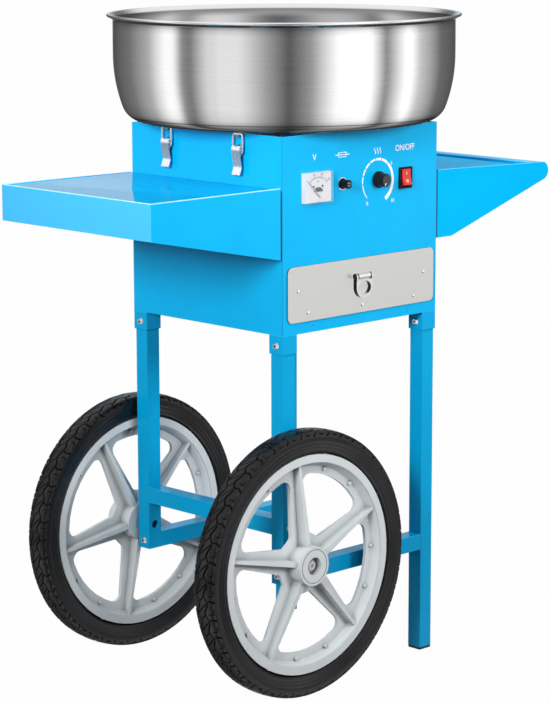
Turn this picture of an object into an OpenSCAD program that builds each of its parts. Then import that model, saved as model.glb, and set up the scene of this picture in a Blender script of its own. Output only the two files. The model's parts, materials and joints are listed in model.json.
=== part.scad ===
// Cotton candy cart: a sheet-steel cabinet on four legs with two large wheels,
// a steel spinning bowl on top, a serving shelf at each side and a drawer in front.
// Millimetres, +Z up, front towards -Y, origin on the floor under the spinner's axis.

/* [Cabinet] */
// Depth of the cabinet, front to back
cab_d = 318; // [300:1:340]
// Height of the cabinet
cab_h = 282; // [270:1:300]
// Height of the cabinet's underside above the floor
cab_z = 522; // [480:1:560]
// Thickness of the cabinet's sheet steel
sheet = 1.5; // [1:0.1:2]
// Width of the folded flanges inside the cabinet
flange = 14; // [10:1:16]
// Depth of the top plate below the top edges of the walls
top_recess = 3; // [1:0.5:6]
// Space between the drawer's opening and the flange of the divider above it
divider_gap = 13; // [8:1:18]
// Number of ventilation slots in the back
vent_count = 6; // [3:1:8]

/* [Legs] */
// Outside width of the square leg and brace tube
leg_w = 24; // [20:1:28]
// Wall of the leg tube
leg_wall = 1.5; // [1:0.1:2.5]
// Wall of the leg sockets
socket_wall = 1.5; // [1:0.1:3]
// Gap between a leg and its socket, each side
socket_fit = 0.5; // [0.2:0.1:0.8]
// Height of the sockets below the cabinet
socket_h = 27; // [20:1:40]
// Length of the left legs below the axle
axle_drop = 37; // [30:1:45]
// Height of the left brace above the axle
left_brace_rise = 47; // [40:1:80]
// Thickness of the foot caps
foot_h = 4; // [3:0.5:8]

/* [Wheels] */
// Outside radius of the tyres
wheel_r = 195; // [185:1:205]
// Width of the tyres
tyre_w = 38; // [34:1:42]
// Height of the tyres above the rims
tyre_h = 35; // [30:1:42]
// Half width of the wheel rims
rim_half = 16; // [13:0.5:18]
// Distance of a rim's middle inwards from its hub's middle
rim_set = 3; // [0:0.5:5]
// Radius of the hubs
hub_r = 28.5; // [24:0.5:32]
// Half length of the hubs
hub_half = 24; // [22:0.5:30]
// Thickness of the spokes' web
web_t = 5; // [4:0.5:8]
// Number of spokes
spokes = 5; // [4:1:6]
// Direction of a front wheel spoke, degrees
front_phase = 24; // [0:1:72]
// Direction of a back wheel spoke, degrees
back_phase = 45; // [0:1:72]
// Radius of the axle bolts
axle_r = 5; // [4:0.5:6]

/* [Bowl] */
// Radius of the bowl's rolled rim
bowl_r = 260; // [250:1:265]
// Height of the bowl
bowl_h = 156; // [140:1:170]
// Gap between the cabinet's top edge and the bowl's underside
bowl_lift = 4; // [3.5:0.5:6]
// Thickness of the bowl's steel
bowl_t = 1.2; // [1:0.1:1.5]
// Radius of the rolled bead at the rim
bead_r = 4.6; // [3.5:0.1:5]
// Radius of the rounding between the bowl's floor and its wall
bowl_round = 32; // [25:1:38]
// Radius of the hole in the bowl's floor
collar_r = 45; // [40:1:50]

/* [Shelves] */
// Reach of the left shelf from the cabinet
left_reach = 245; // [200:1:270]
// Reach of the right shelf from the cabinet
right_reach = 257; // [220:1:280]
// Depth of the left shelf's outer apron
left_apron = 52; // [40:1:60]
// Depth of both shelves' aprons at the cabinet
inner_apron = 102; // [90:1:110]
// Fall of the right shelf towards its handle
right_fall = 7.6; // [0:0.2:10]
// Radius of the right shelf's handle edge
handle_r = 13.8; // [10:0.2:16]
// Width of the flat top of the handle edge
handle_flat = 28; // [20:1:36]
// Gap between the shelves' side plates and the cabinet
shelf_gap = 4; // [2:0.5:6]

/* [Drawer] */
// Height of the front plate's lower edge above the cabinet's underside
front_low = 17; // [14:1:20]
// Width of the drawer box, which the cabinet is built around
drawer_w = 272; // [250:1:290]
// Space between the drawer box and the outside of the cabinet, each side
drawer_side = 23; // [20:0.5:30]
// Space between the drawer box and the outside of the cabinet's back
drawer_back = 34; // [28:1:60]
// Height of the drawer box
drawer_h = 64; // [56:1:72]
// Overlap of the front plate beyond the drawer box, left and right
front_side = 15.5; // [12:0.5:18]
// Overlap of the front plate beyond the drawer box, above and below
front_lap = 8; // [5:0.5:10]
// Thickness of the drawer's sheet steel
drawer_t = 1.2; // [0.8:0.1:1.5]
// Radius of the front plate's corners
front_round = 9; // [4:0.5:14]
// Sideways place of the pull ring
pull_x = -5; // [-20:1:20]

/* [Controls] */
// Depth of the controls below the cabinet's top edge
control_drop = 75; // [64:1:86]
// Sideways place of the voltmeter
meter_x = -96; // [-105:1:-90]
// Sideways place of the fuse
fuse_x = -40; // [-46:1:-30]
// Sideways place of the knob
knob_x = 33; // [20:1:40]
// Sideways place of the rocker switch
switch_x = 90.5; // [84:0.5:100]
// Radius of the knob's skirt
knob_r = 12.2; // [10:0.1:14]
// Tilt of the rocker to each side, degrees
rocker_tilt = 8; // [5:1:10]

/* [Spinner] */
// Radius of the spinner head
head_r = 62; // [50:1:75]
// Height of the heater ribbon
ribbon_h = 28; // [20:1:36]
// Number of slots in the heater ribbon
ribbon_slots = 24; // [12:1:36]
// Height of the spinner's base above the bowl's underside
head_lift = 42; // [34:1:60]
// Radius of the motor's shaft
shaft_r = 5; // [4:0.5:7]
// Radius of the motor
motor_r = 52; // [40:1:60]
// Space between the motor and the divider
motor_room = 42.5; // [36:0.5:60]
// Length of the rubber mounts that hang the motor
mount_h = 40; // [36:1:44]

/* [Latches] */
// Distance of each latch from the middle of its side
latch_y = 75; // [60:1:90]
// Width of a latch lever
lever_w = 16; // [14:0.5:20]
// Radius of the latch wire
wire_r = 1.3; // [1:0.1:1.6]
// Distance between the lever's pivot and the wire's pivot
toggle = 6; // [5:0.5:7]
// Length of a latch lever below its pivot
lever_len = 38; // [34:1:44]
// Gap between a latch lever's tip and the shelves' rims
latch_room = 12; // [6:1:16]
// Depth of the levers' pivots below the cabinet's top edge
pivot_drop = 21; // [19:0.5:25]

/* [Clearances] */
// Radial running clearance of a shaft in its bore
run_fit = 0.05; // [0.02:0.01:0.1]
// Gap between faces that slide or turn past each other
run_gap = 0.3; // [0.2:0.1:0.5]
// Radial clearance of a bolt in its hole
bolt_fit = 0.2; // [0.1:0.1:0.5]

/* [Hidden] */
$fn = 64;
cut = 1;
paint = [0.03, 0.62, 0.90];
steel = [0.80, 0.80, 0.79];
zinc = [0.70, 0.71, 0.72];
grey = [0.72, 0.76, 0.78];
black = [0.10, 0.10, 0.11];
rubber = [0.13, 0.13, 0.14];
brass = [0.78, 0.62, 0.30];

// Cabinet faces
cab_w = drawer_w + 2 * drawer_side;
hw = cab_w / 2;
hd = cab_d / 2;
cab_top = cab_z + cab_h;
in_x = hw - sheet;
in_y = hd - sheet;
front_in = -hd + sheet;
top_z = cab_top - top_recess;
flange_gap = flange + top_recess + 3;

// Heights of the drawer and the divider over it
opening_gap = 2;
front_w = drawer_w + 2 * front_side;
front_h = drawer_h + 2 * front_lap;
drawer_d = cab_d - drawer_back;
plate_mid = cab_z + front_low + front_h / 2;
drawer_z = plate_mid - drawer_h / 2;
divider_z = drawer_z + drawer_h + opening_gap + flange + divider_gap;

// Slots and small holes in the walls
vent_in = 0.08 * cab_w;
vent_out = 0.3 * cab_w;
vent_low = divider_z + 0.36 * (cab_top - divider_z);
vent_pitch = 0.42 * (cab_top - divider_z) / vent_count;
vent_h = vent_pitch / 3;
panel_hole_x = 0.31 * cab_w;
panel_hole_z = cab_z + front_low / 2;
panel_hole_r = 1.6;

// Bolts of the frame
bolt_r = 3;
bolt_head_r = 5.2;
bolt_head_h = 3;
bolt_grip = 8;
bolt_crown = 1.6;

// Legs and braces
socket_w = leg_w + 2 * (socket_fit + socket_wall);
leg_x = hw - socket_w / 2;
leg_y = hd - socket_w / 2;
leg_half = leg_w / 2;
axle_z = wheel_r;
left_leg_z = axle_z - axle_drop;
socket_bolt_z = cab_z - socket_h + 12;
brace_mid_z = left_leg_z + leg_half;
left_brace_z = axle_z + left_brace_rise;
access_r = 6;
plug_len = 12;
foot_plug = 15;

// Wheels
washer_t = 3;
washer_r = 15;
wheel_gap = 0.4;
wheel_y = leg_y + leg_half + washer_t + wheel_gap + hub_half - rim_set;
rim_r = wheel_r - tyre_h;
groove_d = 6;
groove_half = rim_half - 4;
lip_in = rim_r - 11.5;
lip_step = 1.5;
web_r = rim_r - 18.5;
window_out = rim_r - 29.5;
window_in = hub_r + 16.5;
window_corner = 13;
window_tip = 7;
tip_swing = 7;
spoke_half = 12;
rib_rim = 2.2;
rib_hub = 4.2;
rib_fall = 6;
hub_ring = hub_r - 3.5;
hub_ring_w = 1.2;
recess_r = 13;
recess_d = 12;
head_flange_r = 11.5;
head_flange_t = 1.5;
head_h = 5;
head_cap_r = 6.8;
socket_r = 3.3;
nut_h = 8;
nut_r = 9.2;
tyre_fit = 0.2;
tyre_round = 9;
crown_r = 90;

// Bowl
bowl_z = cab_top + bowl_lift;
rim_z = bowl_z + bowl_h;
bead_bite = 0.2;
wall_r = bowl_r - 2 * bead_r + bead_bite;
flare = 1;
side_arc = 220;
side_turn = 20;
side_z = bowl_z + bowl_round + (side_arc - bowl_round) * sin(side_turn);
floor_arc_r = wall_r - side_arc + (side_arc - bowl_round) * cos(side_turn);
floor_arc_z = bowl_z + bowl_round;
collar_h = 4;
pad_x = hw - 13;
pad_y = hd - 37;
pad_w = 12;
pad_l = 24;

// Shelves
pivot_z = cab_top - pivot_drop;
rim_top = pivot_z - lever_len - latch_room;
left_lip = 3;
right_lip = 4.5;
left_end = hw + left_reach;
right_end = hw + right_reach;
nose_x = right_end - handle_r;
nose_z = rim_top - right_fall - handle_r;
nose_turn = 72;
heel = 31;
seam = 0.3;
shelf_bolt_y = 0.62 * hd;
shelf_bolt_z = [rim_top - 0.3 * inner_apron, rim_top - 0.73 * inner_apron];
flange_low = rim_top - 0.94 * inner_apron;
wall_flange = 20;

// Drawer
panel_gap = 0.5;
front_t = 2;
plate_back = -hd - panel_gap;
plate_face = plate_back - front_t;
runner_t = 1.5;
runner_lap = 10;
runner_in = drawer_w / 2 - runner_lap;
runner_up = 20;
pull_z = plate_mid + 14.5;
pull_y = plate_face - 5.5;
pull_w = 34;
pull_rod = 2.5;
pull_barrel = 4.5;
pull_band = 3.4;
pull_depth = 9;
pull_drop = 15.5;
strap_w = 24;
strap_t = 1.5;
strap_h = 18;

// Controls
control_z = cab_top - control_drop;
meter_w = 55;
meter_h = 46;
meter_d = 11;
meter_wall = 1.5;
meter_can = 20;
meter_can_d = 24;
dial_t = 3;
needle_z = control_z - 11;
needle_len = 25;
needle_tail = 5;
needle_half = 1.2;
needle_tip = 0.5;
needle_t = 0.8;
needle_lift = 1.5;
needle_turn = 45;
needle_pin = 1;
needle_seat = 1.5;
fuse_flange = 8;
fuse_flange_t = 2;
fuse_barrel = 6;
fuse_bore = 4.2;
fuse_len = 32;
fuse_end = 3;
cap_r = 6.4;
cap_h = 11;
cap_plug = 8;
cap_slot = 0.8;
cap_slot_d = 2;
glass_at = 2;
glass_r = 2.6;
glass_len = 20;
bush_r = 4.5;
knob_shaft = 3;
knob_shaft_l = 18;
knob_bevel = 1;
pointer_half = 0.7;
pointer_d = 0.8;
pointer_in = 3;
knob_gap = 1.5;
skirt_h = 4;
knob_h = 13;
knob_taper = 0.8;
knob_top = knob_r - 1.9;
knob_off = -155;
regulator_w = 46;
regulator_d = 34;
bezel_w = 27;
bezel_h = 31.5;
bezel_t = 2.5;
bezel_round = 2;
switch_w = 22;
switch_h = 28;
switch_d = 26;
rocker_w = 17;
rocker_len = 24.4;
rocker_pivot = -hd + 3;
rocker_pin = 1.5;
rocker_stub = 1.2;
rocker_room = 1;
rocker_face = 7;
rocker_crown = 8.6;
rocker_back = 4;
well_d = 8;
switch_z = control_z - 2;
gland_x = 90;
gland_z = divider_z + 26;
gland_r = 8;
gland_nut = 6;
gland_nut_r = 12;
gland_in = 10;
gland_out = 12;
cord_r = 4;

// Spinner and motor
head_z = bowl_z + head_lift;
hub_h = 14;
spinner_hub = shaft_r + 9;
dish_t = 3;
ribbon_r = head_r - 2;
ribbon_t = 1.5;
slot_half = 0.8;
slot_end = 5;
motor_plate_w = 176;
motor_plate_t = 3;
plate_z = top_z - sheet - mount_h - motor_plate_t;
motor_h = plate_z - divider_z - motor_room;
bell_h = 0.2 * motor_h;
bell_step = 4;
bell_cone = 14;
mount_r = 11;
mount_waist = 9;
mount_end = 6;
mount_at = 70;
boss_r = 20;
boss_h = 6;
ring_r = 18;
ring_h = 6;
ring_pitch = 12;
ring_start = 3;
sleeve_r = 13;
sleeve_h = 24;
sleeve_z = plate_z + motor_plate_t + boss_h + 1;
shaft_low = plate_z - 0.8 * motor_h;
brush_at = ring_r + 8;
brush_l = 18;
brush_half = 12;
brush_top = sleeve_z + sleeve_h + 1;
carbon_half = 3;
post_r = 4;
post_at = head_r - 14;
cover_t = 2;
sugar_r = 23;
mouth_h = 8;
mouth_w = 9;
mouth_lip = 1.5;

// Latch places: x outwards from the cabinet's side
pivot_u = 7.5;
wire_drop = 1.4;
wire_u = pivot_u - 1;
hook_z = pivot_z - toggle;
wire_z = cab_top - wire_drop;
roll_r = 3.6;
eye_r = 2.4;
latch_pin = 1.5;
lever_t = 1.2;
tongue_half = 2.2;
wire_half = lever_w / 2 + run_gap + wire_r;
wire_bend = 3;
ear_t = 1.2;
hook_t = 1.5;
hook_w = lever_w - 4;
hook_in = 2.2;
hook_lip = 1.2;
hook_out = wire_u + wire_r + 2;
hook_floor = wire_z - wire_r - run_gap;
keeper_in = 15;
dip = 3.8;
base_half = lever_w / 2 - 3;
base_low = pivot_z - 0.42 * lever_len;
base_top = pivot_z + 2 * eye_r;
base_t = 1.5;

// Box between two corners
module block(low, high) {
    translate(low) cube(high - low);
}

// Rod along x
module rod_x(y, z, x0, x1, r) {
    translate([x0, y, z]) rotate([0, 90, 0]) cylinder(h = x1 - x0, r = r);
}

// Rod along y
module rod_y(x, z, y0, y1, r) {
    translate([x, y1, z]) rotate([90, 0, 0]) cylinder(h = y1 - y0, r = r);
}

// Flat outline in x and z, made thick from y_back towards the front
module slab(y_back, t) {
    translate([0, y_back, 0]) rotate([90, 0, 0]) linear_extrude(t) children();
}

// Rectangle with round corners, centred
module round_rect(w, h, r) {
    square([w - 2 * r, h], center = true);
    square([w, h - 2 * r], center = true);
    for (x = [-1, 1], y = [-1, 1])
        translate([x * (w / 2 - r), y * (h / 2 - r)]) circle(r);
}

// The shape and its mirror image, left and right
module both_x() {
    children();
    mirror([1, 0, 0]) children();
}

// The shape and its mirror image, front and back
module both_y() {
    children();
    mirror([0, 1, 0]) children();
}

// Places a latch piece, drawn with x outwards from the side of the cabinet
module on_side(side, y) {
    mirror([side < 0 ? 1 : 0, 0, 0]) translate([hw, y, 0]) children();
}

// Places of the shelf bolts on one side
module shelf_bolt_places() {
    for (y = [-1, 1], z = shelf_bolt_z)
        translate([hw, y * shelf_bolt_y, z]) children();
}

// Button-head bolt along +z, its head below z = 0
module bolt(length) {
    cylinder(h = length, r = bolt_r);
    translate([0, 0, -bolt_head_h])
        cylinder(h = bolt_head_h, r1 = bolt_head_r - bolt_crown, r2 = bolt_head_r);
}

// Folded pan with a flat floor at z = 0 and walls that stand up
module pan(x, y0, y1, t, h) {
    difference() {
        block([-x, y0, 0], [x, y1, h]);
        block([-x + t, y0 + t, t], [x - t, y1 - t, h + cut]);
    }
}

module cabinet_shell() {
    color(paint) difference() {
        union() {
            difference() {
                block([-hw, front_in, cab_z], [hw, hd, cab_top]);
                block([-in_x, front_in - cut, cab_z - cut], [in_x, in_y, cab_top + cut]);
            }
            both_x() block(
                [in_x - flange, front_in, cab_z + flange_gap],
                [hw, front_in + sheet, cab_top - flange_gap]);
        }
        for (i = [0 : vent_count - 1])
            both_x() block(
                [vent_in, in_y - cut, vent_low + vent_pitch * i],
                [vent_out, hd + cut, vent_low + vent_pitch * i + vent_h]);
        rod_y(gland_x, gland_z, in_y - cut, hd + cut, gland_r + bolt_fit);
        both_x() shelf_bolt_places()
            rotate([0, 90, 0]) cylinder(h = 4 * sheet, r = bolt_r + bolt_fit, center = true);
    }
}

module front_panel() {
    color(paint) slab(front_in, sheet) difference() {
        translate([-hw, cab_z]) square([cab_w, cab_h]);
        translate([meter_x, control_z]) circle(meter_can + bolt_fit);
        translate([fuse_x, control_z]) circle(fuse_barrel + bolt_fit);
        translate([knob_x, control_z]) circle(bush_r + bolt_fit);
        translate([switch_x, switch_z])
            square([switch_w + 2 * bolt_fit, switch_h + 2 * bolt_fit], center = true);
        translate([0, plate_mid])
            square([drawer_w + 2 * opening_gap, drawer_h + 2 * opening_gap], center = true);
        for (s = [-1, 1]) translate([s * panel_hole_x, panel_hole_z]) circle(panel_hole_r);
    }
}

module top_plate() {
    color(paint) difference() {
        translate([0, 0, top_z]) mirror([0, 0, 1]) pan(in_x, front_in, in_y, sheet, flange);
        translate([0, 0, top_z - 4 * sheet]) cylinder(h = 8 * sheet, r = collar_r);
    }
}

module bottom_plate() {
    color(paint) translate([0, 0, cab_z]) pan(in_x, front_in, in_y, sheet, flange);
}

module divider_plate() {
    color(zinc) translate([0, 0, divider_z]) mirror([0, 0, 1])
        pan(in_x, front_in + sheet, in_y, sheet, flange);
}

// Angle runners on the side walls, under the drawer's edges
module drawer_runners() {
    runner_z = drawer_z - run_gap - runner_t;
    color(zinc) both_x() {
        block([runner_in, front_in + 2 * sheet, runner_z], [in_x, in_y - 1, runner_z + runner_t]);
        block([in_x - runner_t, front_in + 2 * sheet, runner_z], [in_x, in_y - 1, runner_z + runner_up]);
    }
}

module leg_sockets() {
    socket_z = cab_z - socket_h;
    color(paint) both_x() both_y() difference() {
        translate([leg_x, leg_y, socket_z]) linear_extrude(socket_h) difference() {
            square(socket_w, center = true);
            square(leg_w + 2 * socket_fit, center = true);
        }
        rod_x(leg_y, socket_bolt_z, leg_x - socket_w, leg_x + socket_w, bolt_r + bolt_fit);
    }
}

// Bolts of the sockets, the braces and the shelves
module frame_bolts() {
    color(zinc) {
        both_y() {
            for (x = [-leg_x, leg_x])
                translate([x - socket_w / 2, leg_y, socket_bolt_z]) rotate([0, 90, 0]) bolt(socket_w);
            both_x() translate([-leg_x - leg_half, leg_y, brace_mid_z])
                rotate([0, 90, 0]) bolt(leg_w + bolt_grip);
            translate([-leg_x, -leg_y - leg_half, left_brace_z])
                rotate([-90, 0, 0]) bolt(leg_w + bolt_grip);
        }
        both_x() shelf_bolt_places()
            translate([sheet, 0, 0]) rotate([0, -90, 0]) bolt(2 * sheet + bolt_grip);
    }
}

// Square tube leg, open at both ends
module leg_tube(x, y, z0) {
    translate([x, y, z0]) linear_extrude(cab_z - z0) difference() {
        square(leg_w, center = true);
        square(leg_w - 2 * leg_wall, center = true);
    }
}

// Bolt holes that every leg has, along x
module leg_holes(x, y) {
    for (z = [socket_bolt_z, brace_mid_z])
        rod_x(y, z, x - leg_w, x + leg_w, bolt_r + bolt_fit);
}

// Left leg at y, with the axle hole and its access hole
module left_leg(side) {
    color(paint) mirror([0, side < 0 ? 1 : 0, 0]) difference() {
        leg_tube(-leg_x, leg_y, left_leg_z);
        leg_holes(-leg_x, leg_y);
        rod_y(-leg_x, left_brace_z, leg_y - leg_w, leg_y + leg_w, bolt_r + bolt_fit);
        rod_y(-leg_x, axle_z, leg_y, leg_y + leg_w, axle_r + bolt_fit);
        rod_y(-leg_x, axle_z, leg_y - leg_w, leg_y, access_r);
    }
}

module right_leg(side) {
    color(paint) mirror([0, side < 0 ? 1 : 0, 0]) difference() {
        leg_tube(leg_x, leg_y, foot_h);
        leg_holes(leg_x, leg_y);
    }
}

module leg_front_left() {
    left_leg(-1);
}

module leg_back_left() {
    left_leg(1);
}

module leg_front_right() {
    right_leg(-1);
}

module leg_back_right() {
    right_leg(1);
}

module foot_caps() {
    plug_w = leg_w - 2 * leg_wall - 2 * bolt_fit;
    color(black) both_y() translate([leg_x, leg_y, 0]) {
        translate([0, 0, foot_h / 2]) cube([leg_w, leg_w, foot_h], center = true);
        translate([0, 0, foot_h / 2]) linear_extrude(foot_h / 2 + foot_plug) square(plug_w, center = true);
    }
}

// Square tube along z with a tapped plug in each end
module brace_tube(length) {
    difference() {
        linear_extrude(length) square(leg_w, center = true);
        translate([0, 0, plug_len]) linear_extrude(length - 2 * plug_len)
            square(leg_w - 2 * leg_wall, center = true);
        translate([0, 0, -cut]) cylinder(h = length + 2 * cut, r = bolt_r + bolt_fit);
    }
}

module front_brace() {
    color(paint) translate([-leg_x + leg_half, -leg_y, brace_mid_z])
        rotate([0, 90, 0]) brace_tube(2 * leg_x - leg_w);
}

module back_brace() {
    color(paint) translate([-leg_x + leg_half, leg_y, brace_mid_z])
        rotate([0, 90, 0]) brace_tube(2 * leg_x - leg_w);
}

module left_brace() {
    color(paint) translate([-leg_x, -leg_y + leg_half, left_brace_z])
        rotate([-90, 0, 0]) brace_tube(2 * leg_y - leg_w);
}

// Axle bolt from the wheel's recess to the nut inside the leg, with a socket in its head
module axle_bolts() {
    head_y = wheel_y + rim_set + hub_half - recess_d + run_gap;
    cap_y = head_y + head_flange_t + head_h;
    end_y = leg_y + leg_half - leg_wall - nut_h;
    color(zinc) both_y() difference() {
        union() {
            rod_y(-leg_x, axle_z, end_y, head_y + 1, axle_r);
            rod_y(-leg_x, axle_z, head_y, head_y + head_flange_t, head_flange_r);
            rod_y(-leg_x, axle_z, head_y + 1, cap_y, head_cap_r);
        }
        translate([-leg_x, cap_y - head_h / 2, axle_z])
            rotate([-90, 0, 0]) cylinder(h = head_h, r = socket_r, $fn = 6);
    }
}

// Nut inside each left leg and washer between the leg and its wheel
module axle_fixings() {
    face_y = leg_y + leg_half;
    color(zinc) both_y() {
        difference() {
            translate([-leg_x, face_y - leg_wall - nut_h, axle_z])
                rotate([-90, 30, 0]) cylinder(h = nut_h, r = nut_r, $fn = 6);
            rod_y(-leg_x, axle_z, face_y - leg_w, face_y, axle_r + run_fit);
        }
        difference() {
            rod_y(-leg_x, axle_z, face_y, face_y + washer_t, washer_r);
            rod_y(-leg_x, axle_z, face_y - cut, face_y + washer_t + cut, axle_r + run_fit);
        }
    }
}

// Puts a wheel, drawn about z with its outer side up, on the front axle
module on_axle() {
    translate([-leg_x, -wheel_y, axle_z]) rotate([90, 0, 0]) children();
}

// Opening between two spokes, pointing along x
module window() {
    reach = window_out - window_corner;
    swing = 180 / spokes - asin((spoke_half + window_corner) / reach);
    hull() {
        for (s = [-1, 1]) rotate(s * tip_swing)
            translate([window_in + window_tip, 0]) circle(window_tip, $fn = 24);
        for (s = [-1, 1]) rotate(s * swing) translate([reach, 0]) circle(window_corner, $fn = 24);
        for (i = [-3 : 3]) rotate(i * swing / 3) translate([window_out - 1, 0]) circle(1, $fn = 16);
    }
}

// Spoke rib along x, thinner and lower towards the rim
module rib() {
    low = rim_half - 3;
    high = low + rib_fall;
    near = hub_r - 4;
    far = rim_r - groove_d - 2;
    intersection() {
        translate([0, 0, -high - cut]) linear_extrude(2 * high + 2 * cut) polygon([
            [near, -rib_hub], [far, -rib_rim], [far, rib_rim], [near, rib_hub]
        ]);
        slab(hub_r, 2 * hub_r) polygon([
            [near, -high], [lip_in, -low], [far, -low], [far, low], [lip_in, low], [near, high]
        ]);
    }
}

// Half section of the rim: a lip with a step, a sloping wall and the channel for the tyre
module rim_section() {
    step_z = rim_half - lip_step;
    difference() {
        polygon([
            [rim_r, -rim_half], [rim_r, rim_half], [lip_in, rim_half], [lip_in, step_z],
            [lip_in - 1, step_z], [web_r, web_t / 2], [web_r, -web_t / 2], [lip_in - 1, -step_z],
            [lip_in, -step_z], [lip_in, -rim_half]
        ]);
        translate([rim_r - groove_d, -groove_half]) square([groove_d + cut, 2 * groove_half]);
    }
}

// Moulded wheel: channel rim, five webs with ribs, hub with a recess for the bolt
module moulded_wheel(phase) {
    pitch = 360 / spokes;
    hub_low = rim_set - hub_half;
    hub_high = rim_set + hub_half;
    difference() {
        union() {
            rotate_extrude() rim_section();
            difference() {
                translate([0, 0, -web_t / 2]) cylinder(h = web_t, r = web_r + 2);
                for (i = [0 : spokes - 1]) rotate(phase + (i + 0.5) * pitch)
                    translate([0, 0, -web_t]) linear_extrude(2 * web_t) window();
            }
            for (i = [0 : spokes - 1]) rotate(phase + i * pitch) rib();
            translate([0, 0, hub_low]) cylinder(h = hub_high - hub_low, r = hub_r);
        }
        translate([0, 0, hub_low - cut]) cylinder(h = hub_high - hub_low + 2 * cut, r = axle_r + run_fit);
        translate([0, 0, hub_high - recess_d]) cylinder(h = recess_d + cut, r = recess_r);
        translate([0, 0, hub_high - hub_ring_w]) difference() {
            cylinder(h = hub_ring_w + cut, r = hub_ring);
            translate([0, 0, -cut]) cylinder(h = hub_ring_w + 3 * cut, r = hub_ring - hub_ring_w);
        }
    }
}

module front_wheel() {
    color(grey) on_axle() moulded_wheel(front_phase);
}

module back_wheel() {
    color(grey) mirror([0, 1, 0]) on_axle() moulded_wheel(back_phase);
}

// Tyre's cross-section: radius along x, width along y
module tyre_section() {
    base = rim_r + tyre_fit;
    intersection() {
        translate([(base + wheel_r) / 2, 0]) round_rect(wheel_r - base, tyre_w, tyre_round);
        translate([wheel_r - crown_r, 0]) circle(crown_r);
    }
    translate([rim_r - groove_d + tyre_fit, tyre_fit - groove_half])
        square([groove_d + 6, 2 * (groove_half - tyre_fit)]);
}

module front_tyre() {
    color(rubber) on_axle() rotate_extrude() tyre_section();
}

module back_tyre() {
    color(rubber) mirror([0, 1, 0]) on_axle() rotate_extrude() tyre_section();
}

// Outline of a shelf's side plate and of its sloping parts, in x and z
module left_shelf_side() {
    polygon([
        [hw + shelf_gap, rim_top], [left_end, rim_top], [left_end, rim_top - left_apron],
        [hw + shelf_gap, rim_top - inner_apron]
    ]);
}

// Left shelf: flat tray with a low lip, deep side plates and a flange on the cabinet
module left_shelf() {
    floor_z = rim_top - left_lip;
    color(paint) mirror([1, 0, 0]) difference() {
        union() {
            both_y() slab(-hd + sheet, sheet) left_shelf_side();
            block([left_end - sheet, -hd, rim_top - left_apron], [left_end, hd, rim_top]);
            block([hw, -hd + sheet / 2, floor_z - sheet], [left_end - sheet / 2, hd - sheet / 2, floor_z]);
            block([hw, -hd + wall_flange, flange_low],
                [hw + sheet, hd - wall_flange, floor_z - sheet / 2]);
        }
        shelf_bolt_places() rotate([0, 90, 0]) cylinder(h = 4 * sheet, r = bolt_r + bolt_fit, center = true);
    }
}

// Top line of the right shelf at x
function right_top(x) = rim_top - right_fall * (x - hw) / (nose_x - hw);

module right_shelf_side() {
    polygon([
        [hw + shelf_gap, right_top(hw + shelf_gap)], [nose_x, nose_z + handle_r], [nose_x, nose_z],
        [nose_x + handle_r * cos(nose_turn), nose_z - handle_r * sin(nose_turn)],
        [hw + shelf_gap + heel, rim_top - inner_apron], [hw + shelf_gap, rim_top - inner_apron]
    ]);
    translate([nose_x, nose_z]) circle(handle_r);
}

// Rounded edge to push the cart by, as a hollow section
module handle_section(inset) {
    flat_x = nose_x - handle_flat;
    polygon([
        [flat_x + inset, right_top(flat_x) - inset], [nose_x, nose_z + handle_r - inset],
        [nose_x, nose_z - handle_r + inset], [flat_x + inset, nose_z - handle_r + inset]
    ]);
    translate([nose_x, nose_z]) circle(handle_r - inset);
}

// Right shelf: sunk tray, tapering side plates and a round handle edge
module right_shelf() {
    flat_x = nose_x - handle_flat;
    color(paint) difference() {
        union() {
            both_y() slab(-hd + sheet, sheet) right_shelf_side();
            slab(hd - sheet / 2, 2 * hd - sheet) {
                difference() {
                    handle_section(seam);
                    handle_section(seam + sheet);
                    translate([flat_x - cut, nose_z - handle_r + sheet]) square([sheet + 2 * cut, handle_r]);
                }
                polygon([
                    [hw, right_top(hw) - right_lip], [flat_x + sheet / 2, right_top(flat_x) - right_lip],
                    [flat_x + sheet / 2, right_top(flat_x) - right_lip - sheet],
                    [hw, right_top(hw) - right_lip - sheet]
                ]);
            }
            block([hw, -hd + wall_flange, flange_low],
                [hw + sheet, hd - wall_flange, rim_top - right_lip - sheet]);
        }
        shelf_bolt_places() rotate([0, 90, 0]) cylinder(h = 4 * sheet, r = bolt_r + bolt_fit, center = true);
    }
}

// Half section of the space inside the bowl's skin, with radius along x
module bowl_half(inset, top) {
    turn_x = floor_arc_r + (bowl_round - inset) * cos(side_turn);
    turn_z = floor_arc_z - (bowl_round - inset) * sin(side_turn);
    polygon([
        [0, bowl_z + inset], [floor_arc_r, bowl_z + inset], [turn_x, turn_z], [wall_r - inset, side_z],
        [wall_r + flare - inset, top], [0, top]
    ]);
    intersection() {
        translate([floor_arc_r, floor_arc_z]) circle(bowl_round - inset);
        polygon([
            [floor_arc_r, floor_arc_z], [floor_arc_r, bowl_z - cut], [wall_r + cut, bowl_z - cut],
            [wall_r + cut, floor_arc_z - (wall_r + cut - floor_arc_r) * tan(side_turn)]
        ]);
    }
    intersection() {
        translate([wall_r - side_arc, side_z]) circle(side_arc - inset, $fn = 256);
        polygon([
            [wall_r - side_arc, side_z],
            [wall_r + cut, side_z - (side_arc + cut) * tan(side_turn)], [wall_r + cut, side_z]
        ]);
    }
}

module bowl() {
    top = rim_z - bead_r;
    color(steel) rotate_extrude($fn = 128) difference() {
        union() {
            difference() {
                bowl_half(0, top);
                bowl_half(bowl_t, top + cut);
            }
            translate([bowl_r - bead_r, top]) circle(bead_r);
            translate([collar_r, bowl_z]) square([bowl_t, collar_h]);
        }
        translate([-cut, bowl_z - cut]) square([collar_r + cut, collar_h + 2 * cut]);
    }
}

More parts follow.
